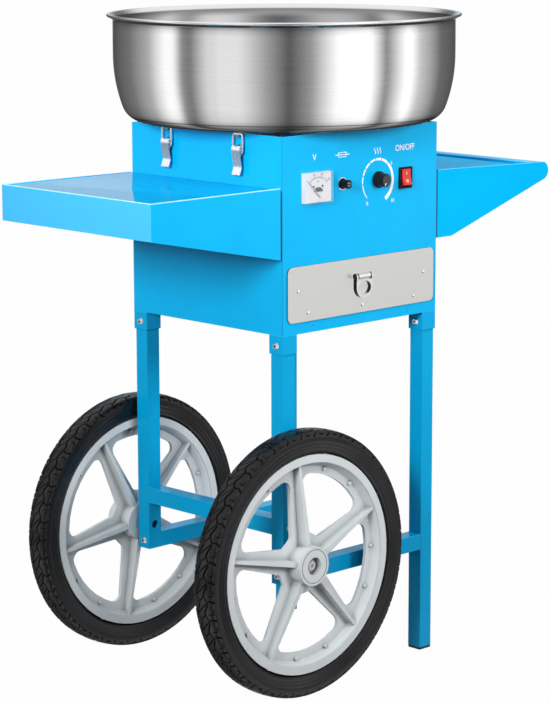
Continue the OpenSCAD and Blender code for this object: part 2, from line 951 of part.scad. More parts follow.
// Hook under the bowl that the latch wire pulls on
module keeper() {
    block([-keeper_in, -hook_w / 2, bowl_z - hook_t], [hook_in + hook_t, hook_w / 2, bowl_z]);
    block([hook_in, -hook_w / 2, hook_floor - hook_t], [hook_in + hook_t, hook_w / 2, bowl_z]);
    block([hook_in, -hook_w / 2, hook_floor - hook_t], [hook_out, hook_w / 2, hook_floor]);
    block([hook_out - hook_lip, -hook_w / 2, hook_floor - hook_t],
        [hook_out, hook_w / 2, hook_floor + wire_r + run_gap]);
}

module bowl_keepers() {
    color(zinc) for (side = [-1, 1], y = [-latch_y, latch_y]) on_side(side, y) keeper();
}

module bowl_pads() {
    color(black) both_x() both_y() block(
        [pad_x - pad_w / 2, pad_y - pad_l / 2, top_z],
        [pad_x + pad_w / 2, pad_y + pad_l / 2, bowl_z]);
}

// Plate on the cabinet with a tongue that holds the lever's pin
module latch_base() {
    block([0, -base_half, base_low], [base_t, base_half, base_top]);
    block([0, -tongue_half, pivot_z - eye_r], [pivot_u, tongue_half, pivot_z + eye_r]);
    rod_y(pivot_u, pivot_z, -tongue_half, tongue_half, eye_r);
    rod_y(pivot_u, pivot_z, -lever_w / 2, lever_w / 2, latch_pin);
}

module latch_bases() {
    color(zinc) for (side = [-1, 1], y = [-latch_y, latch_y]) on_side(side, y) latch_base();
}

// Bent strip with a rolled eye at its top and two ears for the wire
module latch_lever() {
    half = lever_w / 2;
    notch = tongue_half + run_gap;
    outer = pivot_u + roll_r;
    eye = eye_r + run_gap;
    bend_z = pivot_z - 0.16 * lever_len;
    dip_z = pivot_z - 0.64 * lever_len;
    kick_z = pivot_z - 0.74 * lever_len;
    tip_z = pivot_z - lever_len;
    dip_u = outer - dip;
    difference() {
        union() {
            rod_y(pivot_u, pivot_z, -half, half, roll_r);
            slab(half, lever_w) polygon([
                [outer, pivot_z], [outer, bend_z], [dip_u, dip_z], [dip_u, kick_z],
                [outer, tip_z + lever_t / 2], [outer - lever_t, tip_z], [dip_u - lever_t, kick_z],
                [dip_u - lever_t, dip_z], [outer - lever_t, bend_z], [outer - lever_t, pivot_z]
            ]);
            both_y() slab(half, ear_t) {
                polygon([
                    [outer - lever_t / 2, pivot_z], [outer - lever_t / 2, bend_z],
                    [outer - 1.5 * lever_t, pivot_z - 2 * toggle], [wire_u, hook_z - 2 * wire_r],
                    [wire_u, hook_z + 2 * wire_r]
                ]);
                translate([wire_u, hook_z]) circle(2 * wire_r);
            }
        }
        rod_y(pivot_u, pivot_z, -half - cut, half + cut, latch_pin + run_fit);
        rod_y(pivot_u, pivot_z, -notch, notch, eye);
        block([pivot_u - 2 * eye, -notch, pivot_z - eye], [pivot_u + eye, notch, pivot_z + 2 * eye]);
        rod_y(wire_u, hook_z, -half - cut, half + cut, wire_r + run_fit);
    }
}

// Quarter bend of the latch wire, from +y to +z
module wire_elbow(bend) {
    rotate([90, 0, 90]) rotate_extrude(angle = 90) translate([bend, 0]) circle(wire_r);
}

// Wire loop that hangs in the lever's ears and pulls on the keeper
module latch_bail() {
    tip = lever_w / 2 - ear_t - run_gap;
    foot_bend = 1.4 * wire_r;
    both_y() {
        translate([wire_u, wire_half, hook_z + foot_bend])
            cylinder(h = wire_z - wire_bend - hook_z - foot_bend, r = wire_r);
        translate([wire_u, wire_half - wire_bend, wire_z - wire_bend]) wire_elbow(wire_bend);
        translate([wire_u, wire_half - foot_bend, hook_z + foot_bend])
            mirror([0, 0, 1]) wire_elbow(foot_bend);
        rod_y(wire_u, hook_z, tip, wire_half - foot_bend, wire_r);
    }
    rod_y(wire_u, wire_z, wire_bend - wire_half, wire_half - wire_bend, wire_r);
}

module lever_front_left() {
    color(steel) on_side(-1, -latch_y) latch_lever();
}

module lever_back_left() {
    color(steel) on_side(-1, latch_y) latch_lever();
}

module lever_front_right() {
    color(steel) on_side(1, -latch_y) latch_lever();
}

module lever_back_right() {
    color(steel) on_side(1, latch_y) latch_lever();
}

module bail_front_left() {
    color(steel) on_side(-1, -latch_y) latch_bail();
}

module bail_back_left() {
    color(steel) on_side(-1, latch_y) latch_bail();
}

module bail_front_right() {
    color(steel) on_side(1, -latch_y) latch_bail();
}

module bail_back_right() {
    color(steel) on_side(1, latch_y) latch_bail();
}

// Cast dish of the spinner with its hub and three posts
module spinner_base() {
    color(grey) difference() {
        union() {
            translate([0, 0, head_z]) cylinder(h = dish_t, r = head_r);
            translate([0, 0, head_z - hub_h]) cylinder(h = hub_h + dish_t, r = spinner_hub);
            for (a = [0, 120, 240]) rotate(a)
                translate([post_at, 0, head_z]) cylinder(h = dish_t + ribbon_h, r = post_r);
        }
        translate([0, 0, head_z - hub_h - cut]) cylinder(h = hub_h + dish_t + 2 * cut, r = shaft_r + run_fit);
    }
}

// Slotted ribbon that melts the sugar
module heater_ribbon() {
    low = head_z + dish_t;
    color(brass) difference() {
        translate([0, 0, low]) cylinder(h = ribbon_h, r = ribbon_r);
        translate([0, 0, low - cut]) cylinder(h = ribbon_h + 2 * cut, r = ribbon_r - ribbon_t);
        for (i = [0 : ribbon_slots - 1]) rotate(i * 360 / ribbon_slots)
            block([ribbon_r - 2 * ribbon_t, -slot_half, low + slot_end],
                [ribbon_r + ribbon_t, slot_half, low + ribbon_h - slot_end]);
    }
}

// Lid of the spinner with a dished mouth for the sugar
module spinner_cover() {
    low = head_z + dish_t + ribbon_h;
    color(grey) rotate_extrude() polygon([
        [sugar_r, low + mouth_h - cover_t], [sugar_r + mouth_w, low], [head_r, low],
        [head_r, low + cover_t], [sugar_r + mouth_w + 1, low + cover_t],
        [sugar_r + mouth_lip, low + mouth_h], [sugar_r, low + mouth_h]
    ]);
}

module motor_shaft() {
    color(zinc) translate([0, 0, shaft_low]) cylinder(h = head_z + dish_t - shaft_low, r = shaft_r);
}

// Insulating sleeve with two contact rings
module slip_rings() {
    color(brass) rotate_extrude() {
        translate([shaft_r + run_fit, sleeve_z]) square([sleeve_r - shaft_r - run_fit, sleeve_h]);
        for (i = [0, 1]) translate([sleeve_r - 1, sleeve_z + ring_start + ring_pitch * i])
            square([ring_r - sleeve_r + 1, ring_h]);
    }
}

// Motor with rounded end bells, hung under its plate
module motor() {
    low = plate_z - motor_h;
    bell_r = motor_r - bell_step;
    color(zinc) difference() {
        union() {
            rotate_extrude() polygon([
                [0, low], [motor_r - bell_cone, low], [bell_r, low + 0.4 * bell_h],
                [bell_r, low + bell_h], [motor_r, low + bell_h], [motor_r, plate_z - bell_h],
                [bell_r, plate_z - bell_h], [bell_r, plate_z], [0, plate_z]
            ]);
            translate([0, 0, plate_z - 1]) cylinder(h = motor_plate_t + boss_h + 1, r = boss_r);
        }
        translate([0, 0, shaft_low - run_gap]) cylinder(h = 2 * motor_h, r = shaft_r + run_fit);
    }
}

module motor_plate() {
    half = motor_plate_w / 2;
    color(zinc) difference() {
        block([-half, -half, plate_z], [half, half, plate_z + motor_plate_t]);
        translate([0, 0, plate_z - cut]) cylinder(h = motor_plate_t + 2 * cut, r = boss_r + 1);
    }
}

module motor_mounts() {
    color(rubber) both_x() both_y() translate([mount_at, mount_at, plate_z + motor_plate_t]) {
        cylinder(h = mount_h, r = mount_waist);
        cylinder(h = mount_end, r = mount_r);
        translate([0, 0, mount_h - mount_end]) cylinder(h = mount_end, r = mount_r);
    }
}

// Block on the motor plate with two carbon brushes against the rings
module brush_holder() {
    color(black) {
        block([brush_at, -brush_half, plate_z + motor_plate_t], [brush_at + brush_l, brush_half, brush_top]);
        for (i = [0, 1]) translate([0, 0, sleeve_z + ring_start + ring_pitch * i])
            block([ring_r + run_gap, -carbon_half, 0], [brush_at + 1, carbon_half, ring_h]);
    }
}

// Meter's can behind the panel, with the dial plate in front
module meter_case() {
    inner_w = meter_w - 2 * meter_wall - 2 * bolt_fit;
    inner_h = meter_h - 2 * meter_wall - 2 * bolt_fit;
    color("white") difference() {
        union() {
            translate([meter_x, 0, control_z]) slab(-hd, dial_t) square([inner_w, inner_h], center = true);
            rod_y(meter_x, control_z, -hd - 1, front_in + meter_can_d, meter_can);
        }
        rod_y(meter_x, needle_z, -hd - dial_t - cut, -hd + needle_seat + run_gap, needle_pin + run_fit);
    }
}

// Clear box over the dial
module meter_cover() {
    color([0.9, 0.95, 1, 0.4]) translate([meter_x, 0, control_z]) difference() {
        slab(-hd, meter_d) square([meter_w, meter_h], center = true);
        slab(-hd + cut, meter_d - meter_wall + cut)
            square([meter_w - 2 * meter_wall, meter_h - 2 * meter_wall], center = true);
    }
}

module meter_needle() {
    back = -hd - dial_t - needle_lift;
    color("red") {
        rod_y(meter_x, needle_z, back - needle_t, -hd + needle_seat, needle_pin);
        translate([meter_x, 0, needle_z]) slab(back, needle_t) rotate(needle_turn) polygon([
            [-needle_half, -needle_tail], [needle_half, -needle_tail],
            [needle_tip, needle_len], [-needle_tip, needle_len]
        ]);
    }
}

module fuse_holder() {
    color(black) difference() {
        union() {
            rod_y(fuse_x, control_z, -hd - fuse_flange_t, -hd, fuse_flange);
            rod_y(fuse_x, control_z, -hd - 1, -hd + fuse_len, fuse_barrel);
        }
        rod_y(fuse_x, control_z, -hd - fuse_flange_t - cut, -hd + fuse_len - fuse_end, fuse_bore);
    }
}

// Bayonet cap with a slot for a finger or a coin
module fuse_cap() {
    face = -hd - fuse_flange_t - run_gap;
    color(black) difference() {
        union() {
            rod_y(fuse_x, control_z, face - cap_h, face, cap_r);
            rod_y(fuse_x, control_z, face - 1, -hd + cap_plug, fuse_bore - run_fit);
        }
        rod_y(fuse_x, control_z, -hd + glass_at, -hd + cap_plug + cut, glass_r + run_fit);
        block([fuse_x - cap_r - cut, face - cap_h - cut, control_z - cap_slot],
            [fuse_x + cap_r + cut, face - cap_h + cap_slot_d, control_z + cap_slot]);
    }
}

module fuse() {
    color("white") rod_y(fuse_x, control_z, -hd + glass_at, -hd + glass_at + glass_len, glass_r);
}

// Regulator behind the knob, with its threaded bush through the panel
module regulator() {
    half = regulator_w / 2;
    color(black) difference() {
        union() {
            block([knob_x - half, front_in, control_z - half],
                [knob_x + half, front_in + regulator_d, control_z + half]);
            rod_y(knob_x, control_z, -hd - 1, front_in + 1, bush_r);
        }
        rod_y(knob_x, control_z, -hd - 1 - cut, front_in + knob_shaft_l + 2, knob_shaft + run_fit);
    }
}

// Knob with a skirt, a tapered grip and a pointer, on its shaft
module knob() {
    back = -hd - knob_gap;
    end = skirt_h + knob_h;
    color(black) difference() {
        union() {
            translate([knob_x, back, control_z]) rotate([90, 0, 0]) rotate_extrude() polygon([
                [0, 0], [knob_r, 0], [knob_r, skirt_h - knob_bevel], [knob_r - knob_bevel, skirt_h],
                [knob_top, skirt_h], [knob_top - knob_taper, end - knob_bevel],
                [knob_top - knob_taper - knob_bevel, end], [0, end]
            ]);
            rod_y(knob_x, control_z, back - 1, front_in + knob_shaft_l, knob_shaft);
        }
        translate([knob_x, 0, control_z]) rotate([0, knob_off, 0])
            block([-pointer_half, back - end - cut, pointer_in],
                [pointer_half, back - end + pointer_d, knob_r]);
    }
}

// Switch body with its bezel and the well that the rocker tilts in
module switch_body() {
    well_w = rocker_w / 2 + run_gap;
    well_h = rocker_len / 2 + rocker_room;
    pin_end = rocker_w / 2 + rocker_stub + 2 * run_gap;
    color(black) translate([switch_x, 0, switch_z]) difference() {
        union() {
            slab(-hd, bezel_t) round_rect(bezel_w, bezel_h, bezel_round);
            block([-switch_w / 2, -hd - 1, -switch_h / 2], [switch_w / 2, -hd + switch_d, switch_h / 2]);
        }
        block([-well_w, -hd - bezel_t - cut, -well_h], [well_w, rocker_pivot + well_d, well_h]);
        translate([0, rocker_pivot, 0]) rod_x(0, 0, -pin_end, pin_end, rocker_pin + run_fit);
    }
}

// Rocker with two slanting faces, its upper half pressed in at rest
module rocker() {
    half = rocker_len / 2;
    color("red") translate([switch_x, rocker_pivot, switch_z]) rotate([-rocker_tilt, 0, 0]) {
        rotate([90, 0, 90]) translate([0, 0, -rocker_w / 2]) linear_extrude(rocker_w) polygon([
            [rocker_back, -half + 2], [1 - rocker_face, -half], [-rocker_crown, -half + 0.6],
            [-rocker_face, 0], [-rocker_crown, half - 0.6], [1 - rocker_face, half], [rocker_back, half - 2]
        ]);
        rod_x(0, 0, -rocker_w / 2 - rocker_stub, rocker_w / 2 + rocker_stub, rocker_pin);
    }
}

module drawer_box() {
    color(zinc) translate([0, 0, drawer_z])
        pan(drawer_w / 2, plate_back, plate_back + drawer_d, drawer_t, drawer_h);
}

module drawer_front() {
    color(steel) translate([0, 0, plate_mid]) slab(plate_back, front_t)
        round_rect(front_w, front_h, front_round);
}

// Strap on the drawer's front, rolled round the ring's rod
module pull_bracket() {
    color(steel) difference() {
        union() {
            rod_x(pull_y, pull_z, pull_x - strap_w / 2, pull_x + strap_w / 2, pull_barrel);
            block([pull_x - strap_w / 2, plate_face - strap_t, pull_z - strap_h],
                [pull_x + strap_w / 2, plate_face, pull_z + 2]);
        }
        rod_x(pull_y, pull_z, pull_x - strap_w, pull_x + strap_w, pull_rod + run_fit);
    }
}

// Flat band bent to a stirrup, with round ends and a rod across its top
module pull_ring() {
    r_out = pull_w / 2;
    r_in = r_out - pull_band;
    half = pull_depth / 2;
    color(steel) translate([pull_x, pull_y, pull_z]) {
        intersection() {
            slab(pull_depth, 2 * pull_depth) difference() {
                union() {
                    translate([0, -pull_drop]) circle(r_out);
                    translate([-r_out, -pull_drop]) square([2 * r_out, pull_drop + pull_depth]);
                }
                translate([0, -pull_drop]) circle(r_in);
                translate([-r_in, -pull_drop]) square([2 * r_in, pull_drop + 2 * pull_depth]);
            }
            translate([-pull_w, 0, 0]) rotate([90, 0, 90]) linear_extrude(2 * pull_w) {
                circle(half);
                translate([-half, -pull_drop - pull_w]) square([pull_depth, pull_drop + pull_w]);
            }
        }
        rod_x(0, 0, -r_in - 1, r_in + 1, pull_rod);
    }
}

// Gland in the back wall where the supply cord would enter
module cable_gland() {
    color(black) difference() {
        union() {
            rod_y(gland_x, gland_z, in_y - gland_in, hd + gland_out, gland_r);
            for (y = [hd, in_y - gland_nut]) translate([gland_x, y, gland_z])
                rotate([-90, 0, 0]) cylinder(h = gland_nut, r = gland_nut_r, $fn = 6);
        }
        rod_y(gland_x, gland_z, in_y - gland_in - cut, hd + gland_out + cut, cord_r);
    }
}

cabinet_shell();
front_panel();
top_plate();
bottom_plate();
divider_plate();
drawer_runners();
leg_sockets();
frame_bolts();
leg_front_left();
leg_back_left();
leg_front_right();
leg_back_right();
foot_caps();
front_brace();
back_brace();
left_brace();
axle_bolts();
axle_fixings();
front_wheel();
front_tyre();
back_wheel();
back_tyre();
left_shelf();
right_shelf();
bowl();
bowl_keepers();
bowl_pads();
latch_bases();
lever_front_left();
lever_back_left();
lever_front_right();
lever_back_right();
bail_front_left();
bail_back_left();
bail_front_right();
bail_back_right();
spinner_base();
heater_ribbon();
spinner_cover();
motor_shaft();
slip_rings();
motor();
motor_plate();
motor_mounts();
brush_holder();
meter_case();
meter_cover();
meter_needle();
fuse_holder();
fuse_cap();
fuse();
regulator();
knob();
switch_body();
rocker();
drawer_box();
drawer_front();
pull_bracket();
pull_ring();
cable_gland();
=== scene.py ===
import json
import math

import bmesh
import bpy
from mathutils import Matrix, Vector


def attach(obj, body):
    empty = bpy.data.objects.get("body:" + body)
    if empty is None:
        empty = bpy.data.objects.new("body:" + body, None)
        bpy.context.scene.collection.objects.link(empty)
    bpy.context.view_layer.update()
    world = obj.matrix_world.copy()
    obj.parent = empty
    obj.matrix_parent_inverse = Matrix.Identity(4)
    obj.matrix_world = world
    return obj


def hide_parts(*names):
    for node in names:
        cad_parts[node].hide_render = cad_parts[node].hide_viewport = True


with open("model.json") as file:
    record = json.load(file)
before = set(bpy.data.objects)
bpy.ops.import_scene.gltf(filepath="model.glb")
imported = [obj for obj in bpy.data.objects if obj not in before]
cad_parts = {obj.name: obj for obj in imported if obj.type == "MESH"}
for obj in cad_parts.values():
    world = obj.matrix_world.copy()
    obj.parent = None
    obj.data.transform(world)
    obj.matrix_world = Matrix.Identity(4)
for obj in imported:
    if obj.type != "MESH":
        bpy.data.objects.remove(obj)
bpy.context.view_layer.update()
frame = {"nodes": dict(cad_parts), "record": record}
scene = bpy.context.scene
MM = 0.001

# places shared with the solids, in millimetres
HALF = 159.0
FRONT = -159.0
METER = (-96.0, 729.0)
FUSE = (-40.0, 729.0)
KNOB = (33.0, 729.0)
SWITCH = (90.5, 727.0)
WORDS_Z = 770.5
WHEEL_X, WHEEL_Y, WHEEL_Z = -145.0, 181.4, 195.0
BOWL_Z = 808.0
PLATE_FACE = -161.5
PULL_X, PULL_Y, PULL_Z, EYE_Z = -5.0, -167.0, 593.5, 576.6
CORNERS = ("front_left", "back_left", "front_right", "back_right")


# small helpers
def body_of(node):
    for body, nodes in frame["record"]["behaviour"]["bodies"].items():
        if node in nodes:
            return body


def add_object(name, mesh, material, body):
    obj = bpy.data.objects.new(name, mesh)
    scene.collection.objects.link(obj)
    mesh.materials.clear()
    mesh.materials.append(material)
    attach(obj, body)
    return obj


def from_bmesh(bm, name, smooth_deg=35):
    mesh = bpy.data.meshes.new(name)
    bmesh.ops.recalc_face_normals(bm, faces=bm.faces)
    bm.to_mesh(mesh)
    bm.free()
    soften(mesh, smooth_deg)
    return mesh


def soften(mesh, smooth_deg):
    mesh.polygons.foreach_set("use_smooth", [True] * len(mesh.polygons))
    mesh.set_sharp_from_angle(angle=math.radians(smooth_deg))
    mesh.update()


def add_bevel(obj, width, segments=2, angle=32):
    mod = obj.modifiers.new("edge", "BEVEL")
    mod.width = width * MM
    mod.segments = segments
    mod.limit_method = "ANGLE"
    mod.angle_limit = math.radians(angle)
    mod.harden_normals = True
    mod.miter_outer = "MITER_ARC"
    return mod


def dress(node, material, bevel=0.0, segments=2, angle=32, smooth_deg=32):
    """A copy of a CAD node with softened edges, which stands for it."""
    bm = bmesh.new()
    bm.from_mesh(frame["nodes"][node].data)
    bmesh.ops.remove_doubles(bm, verts=bm.verts, dist=1e-6)
    bmesh.ops.dissolve_limit(
        bm, angle_limit=math.radians(0.6), verts=bm.verts, edges=bm.edges, use_dissolve_boundaries=False
    )
    mesh = bpy.data.meshes.new(node + "_skin")
    bm.to_mesh(mesh)
    bm.free()
    soften(mesh, smooth_deg)
    obj = add_object(node + "_skin", mesh, material, body_of(node))
    if bevel:
        add_bevel(obj, bevel, segments, angle)
    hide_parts(node)
    return obj


def paint_node(node, material):
    """A CAD node that keeps its own mesh gets a better material."""
    mesh = frame["nodes"][node].data
    mesh.materials.clear()
    mesh.materials.append(material)


def lathe(bm, profile, segments, matrix=Matrix.Identity(4), start=0.0, closed=False):
    """Turns (radius, height) points round z. A radius of 0 makes a pole."""
    rings = []
    for radius, height in profile:
        if radius < 1e-6:
            rings.append([bm.verts.new(matrix @ Vector((0, 0, height * MM)))])
            continue
        ring = []
        for i in range(segments):
            a = start + 2 * math.pi * i / segments
            p = Vector((radius * math.cos(a), radius * math.sin(a), height)) * MM
            ring.append(bm.verts.new(matrix @ p))
        rings.append(ring)
    pairs = list(zip(rings, rings[1:]))
    if closed:
        pairs.append((rings[-1], rings[0]))
    for low, high in pairs:
        for i in range(segments):
            j = (i + 1) % segments
            if len(low) == 1 and len(high) == 1:
                continue
            if len(low) == 1:
                bm.faces.new((low[0], high[j], high[i]))
            elif len(high) == 1:
                bm.faces.new((low[i], low[j], high[0]))
            else:
                bm.faces.new((low[i], low[j], high[j], high[i]))


def facing(x, y, z, direction):
    """Matrix that puts a shape drawn along +z at a place in millimetres, turned to a direction."""
    turn = Vector(direction).to_track_quat("Z", "Y").to_matrix().to_4x4()
    return Matrix.Translation(Vector((x, y, z)) * MM) @ turn


def front_matrix(x, z, y=FRONT):
    """Drawing plane on the front panel: x to the right, y up, z towards the viewer."""
    return Matrix(((1, 0, 0, x * MM), (0, 0, -1, y * MM), (0, 1, 0, z * MM), (0, 0, 0, 1)))


def extrude_outline(bm, points, depth, matrix):
    """Flat outline in millimetres, made depth thick from the drawing plane towards the viewer."""
    low = [bm.verts.new(matrix @ Vector((x * MM, y * MM, 0))) for x, y in points]
    high = [bm.verts.new(matrix @ Vector((x * MM, y * MM, depth * MM))) for x, y in points]
    bm.faces.new(high)
    bm.faces.new(low[::-1])
    for i in range(len(points)):
        j = (i + 1) % len(points)
        bm.faces.new((low[i], low[j], high[j], high[i]))


# materials
class Tree:
    """Short way to build a node tree."""

    def __init__(self, tree):
        self.tree = tree

    def add(self, kind, **values):
        node = self.tree.nodes.new(kind)
        for key, value in values.items():
            setattr(node, key, value)
        return node

    def link(self, a, b):
        self.tree.links.new(a, b)

    def parts(self, source):
        """The X, Y and Z outputs of a vector."""
        node = self.add("ShaderNodeSeparateXYZ")
        self.link(source, node.inputs["Vector"])
        return node.outputs

    def math(self, operation, *values):
        """Arithmetic on sockets and numbers."""
        node = self.add("ShaderNodeMath", operation=operation)
        for socket, value in zip(node.inputs, values):
            if isinstance(value, float):
                socket.default_value = value
            else:
                self.link(value, socket)
        return node.outputs["Value"]

    def span(self, value, low, high, to_low=0.0, to_high=1.0):
        """A value between two ends, brought between two others."""
        node = self.add("ShaderNodeMapRange")
        for key, end in (("From Min", low), ("From Max", high), ("To Min", to_low), ("To Max", to_high)):
            node.inputs[key].default_value = end
        self.link(value, node.inputs["Value"])
        return node.outputs["Result"]

    def mix(self, factor, a, b, way="MIX"):
        """Mix of two colours, each a socket or a plain colour."""
        node = self.add("ShaderNodeMix", data_type="RGBA", blend_type=way)
        for key, value in (("Factor", factor), ("A", a), ("B", b)):
            if isinstance(value, float):
                node.inputs[key].default_value = value
            elif isinstance(value, tuple):
                node.inputs[key].default_value = (*value, 1.0)
            else:
                self.link(value, node.inputs[key])
        return node.outputs["Result"]

    def ramp(self, value, stops):
        ramp = self.add("ShaderNodeValToRGB")
        while len(ramp.color_ramp.elements) < len(stops):
            ramp.color_ramp.elements.new(0.5)
        for element, (place, color) in zip(ramp.color_ramp.elements, stops):
            element.position = place
            element.color = (*color, 1.0)
        self.link(value, ramp.inputs["Fac"])
        return ramp.outputs["Color"]


class Nodes(Tree):
    """A material's node tree."""

    def __init__(self, name):
        self.mat = bpy.data.materials.new(name)
        self.mat.use_nodes = True
        super().__init__(self.mat.node_tree)
        self.bsdf = self.tree.nodes["Principled BSDF"]

    def set(self, **values):
        """Sets the shader's inputs, by sockets or by numbers."""
        for key, value in values.items():
            socket = self.bsdf.inputs[key.replace("_", " ")]
            if isinstance(value, bpy.types.NodeSocket):
                self.link(value, socket)
            else:
                socket.default_value = value

    def place(self, output="Object"):
        return self.add("ShaderNodeTexCoord").outputs[output]

    def noise(self, scale, detail=3.0, stretch=(1, 1, 1), rough=0.5, source=None):
        mapping = self.add("ShaderNodeMapping")
        mapping.inputs["Scale"].default_value = stretch
        tex = self.add("ShaderNodeTexNoise")
        for key, value in (("Scale", scale), ("Detail", detail), ("Roughness", rough)):
            tex.inputs[key].default_value = value
        self.link(source or self.place(), mapping.inputs["Vector"])
        self.link(mapping.outputs["Vector"], tex.inputs["Vector"])
        return tex.outputs["Fac"]

    def uneven(self, value, middle, share=0.15):
        """A number that a noise moves by a share of itself."""
        return self.span(value, 0.3, 0.7, middle * (1 - share), middle * (1 + share))

    def bump(self, height, strength, distance):
        node = self.add("ShaderNodeBump")
        node.inputs["Strength"].default_value = strength
        node.inputs["Distance"].default_value = distance
        self.link(height, node.inputs["Height"])
        return node.outputs["Normal"]


def shade(color, factor):
    return tuple(min(1.0, c * factor) for c in color)


def grey(value):
    return (value, value, value)


def surface(
    name, color, rough, metal=0.0, spread=0.06, grain=60.0, bump=0.03, bump_scale=900.0, crease_shade=0, **more
):
    """General material: slow colour drift, uneven gloss, a fine surface texture and, if asked, painted shade in
    creases.
    """
    m = Nodes(name)
    drift = m.noise(grain * 0.2, 2.0)
    base = m.ramp(drift, [(0.3, shade(color, 1 - spread)), (0.7, shade(color, 1 + spread))])
    if crease_shade:
        # painted shade: corners and grooves darker within so many millimetres of another face
        hollow = m.add("ShaderNodeAmbientOcclusion", samples=8)
        hollow.inputs["Distance"].default_value = crease_shade * MM
        tone = m.ramp(hollow.outputs["AO"], [(0.25, grey(0.4)), (0.75, grey(0.88)), (0.95, grey(1.0))])
        base = m.mix(1.0, base, tone, "MULTIPLY")
    fine = m.noise(grain, 4.0)
    normal = m.bump(m.noise(bump_scale, 2.0), bump, 0.0002)
    m.set(Base_Color=base, Roughness=m.uneven(fine, rough), Normal=normal, Metallic=metal, **more)
    return m.mat


BLUE = (0.002, 0.405, 0.76)


def painted(name, color, rough, edge=0.75, line=None, shine=0.2, pale=0.0, rim=None):
    """Gloss paint, with a painted highlight on the upper edges of folded sheet.

    line is the height of a level top edge that has a painted highlight line, and rim the height at x = 0 and
    the fall of a sloping one, with painted highlight and shade bands. pale lightens the end that faces left, a painted
    sheen.
    """
    m = Nodes(name)
    tint = m.ramp(m.noise(18, 2.0), [(0.3, shade(color, 0.975)), (0.7, shade(color, 1.025))])
    facing_way = m.parts(m.add("ShaderNodeNewGeometry").outputs["Normal"])
    spot = m.parts(m.place())
    # painted highlight on the upper edges of folds, where a face turns between level and upright
    fold_highlight = m.ramp(facing_way["Z"], [(0.2, grey(0.0)), (0.45, grey(edge)), (0.75, grey(edge)), (0.9, grey(0.0))])
    tint = m.mix(fold_highlight, tint, (0.36, 0.80, 1.0))
    # painted sheen: faces turned to the left are paler
    if pale:
        tint = m.mix(m.span(facing_way["X"], -0.7, -1.0, 0.0, pale), tint, (1.0, 1.0, 1.0))
    # painted highlight: a light line along a level top edge
    if line:
        near = m.span(spot["Z"], (line - 1.5) * MM, (line - 1.1) * MM, 0.0, 0.8)
        tint = m.mix(near, tint, (0.50, 0.84, 1.0))
    if rim:
        # painted highlight and shade: on the far side the light line is wider and whiter, with a painted shade band
        # under it
        top, fall = rim
        level = m.math("MULTIPLY_ADD", spot["X"], fall, spot["Z"])
        far_fold = m.math("MULTIPLY", m.span(spot["Y"], -0.01, 0.01), m.span(facing_way["Y"], -0.5, -0.8))
        for drop, color, far_only in (
            (4.6, (0.0, 0.15, 0.36), True), (2.7, (0.98, 0.99, 1.0), True), (1.0, (0.12, 0.56, 0.9), False),
        ):
            near = m.span(level, (top - drop) * MM, (top - drop + 0.3) * MM)
            tint = m.mix(m.math("MULTIPLY", near, far_fold) if far_only else near, tint, color)
    m.set(
        Base_Color=tint, Roughness=m.uneven(m.noise(90, 4.0), rough),
        Normal=m.bump(m.noise(160, 2.0), 0.012, 0.0002), Specular_IOR_Level=shine, Specular_Tint=(0.2, 0.6, 1.0, 1.0),
    )
    return m.mat


def points_of(node):
    return [v.co for v in frame["nodes"][node].data.vertices]


blue = painted("blue_paint", BLUE, 0.13)
# left shelf: painted sheen on its left end and a painted highlight line along its top edge
blue_shelf = painted("blue_shelf", BLUE, 0.1, pale=0.05, line=max(c.z for c in points_of("left_shelf")) / MM)
# right shelf: painted highlight lines on its sloping lips, and a painted shade band on the far one
RIGHT_FALL = 7.6 / (257.0 - 13.8)
right_top = max(c.z + RIGHT_FALL * c.x for c in points_of("right_shelf")) / MM
blue_tray = painted("blue_tray", shade(BLUE, 1.04), 0.35, 0.0, shine=0.02, rim=(right_top, RIGHT_FALL))
# top plate: a dull and darker copy of the blue paint; the darkness is painted shade under the bowl
blue_dull_shaded = painted("blue_dull_shaded", shade(BLUE, 0.6), 0.6, 0.0, shine=0.02)
# legs, sockets and braces: a darker copy of the blue paint, painted shade for the lower frame
blue_tube_shaded = painted("blue_tube_shaded", shade(BLUE, 0.86), 0.2, 0.3)
wheel_grey = surface(
    "wheel_plastic", (0.62, 0.655, 0.662), 0.46, spread=0.03, grain=120, bump=0.12, bump_scale=1500, crease_shade=14,
    Specular_IOR_Level=0.3,
)
tyre_black = surface(
    "tyre_rubber", (0.006, 0.006, 0.0064), 0.22, spread=0.25, grain=140, bump=0.1, bump_scale=1300, crease_shade=4,
    Specular_IOR_Level=0.32,
)
rubber_black = surface("black_rubber", (0.016, 0.016, 0.017), 0.6, spread=0.2, bump=0.2)
plastic_black = surface(
    "black_plastic", (0.009, 0.009, 0.01), 0.36, spread=0.2, bump=0.1, bump_scale=1800, Specular_IOR_Level=0.16
)
gloss_black = surface("black_gloss", (0.006, 0.006, 0.007), 0.2, spread=0.2, bump=0.03, Specular_IOR_Level=0.14)
zinc = surface("zinc_plate", (0.56, 0.57, 0.58), 0.3, 1.0, spread=0.08, grain=160, bump=0.1)
bright = surface("bright_nickel", (0.72, 0.71, 0.70), 0.16, 1.0, spread=0.04, grain=200, bump=0.05)
cast = surface("cast_aluminium", (0.60, 0.61, 0.62), 0.42, 1.0, spread=0.05, grain=260, bump=0.25, bump_scale=1600)
brass = surface("heater_alloy", (0.62, 0.46, 0.20), 0.28, 1.0, spread=0.08)
enamel = surface("motor_enamel", (0.16, 0.165, 0.17), 0.4, spread=0.08, bump=0.1)
white_print = surface("white_print", (0.86, 0.87, 0.88), 0.45, spread=0.02, bump=0.05)
black_print = surface("black_print", (0.02, 0.02, 0.02), 0.5, spread=0.1, bump=0.05)
dial_white = surface("dial_white", (0.62, 0.63, 0.66), 0.5, spread=0.02, bump=0.05)
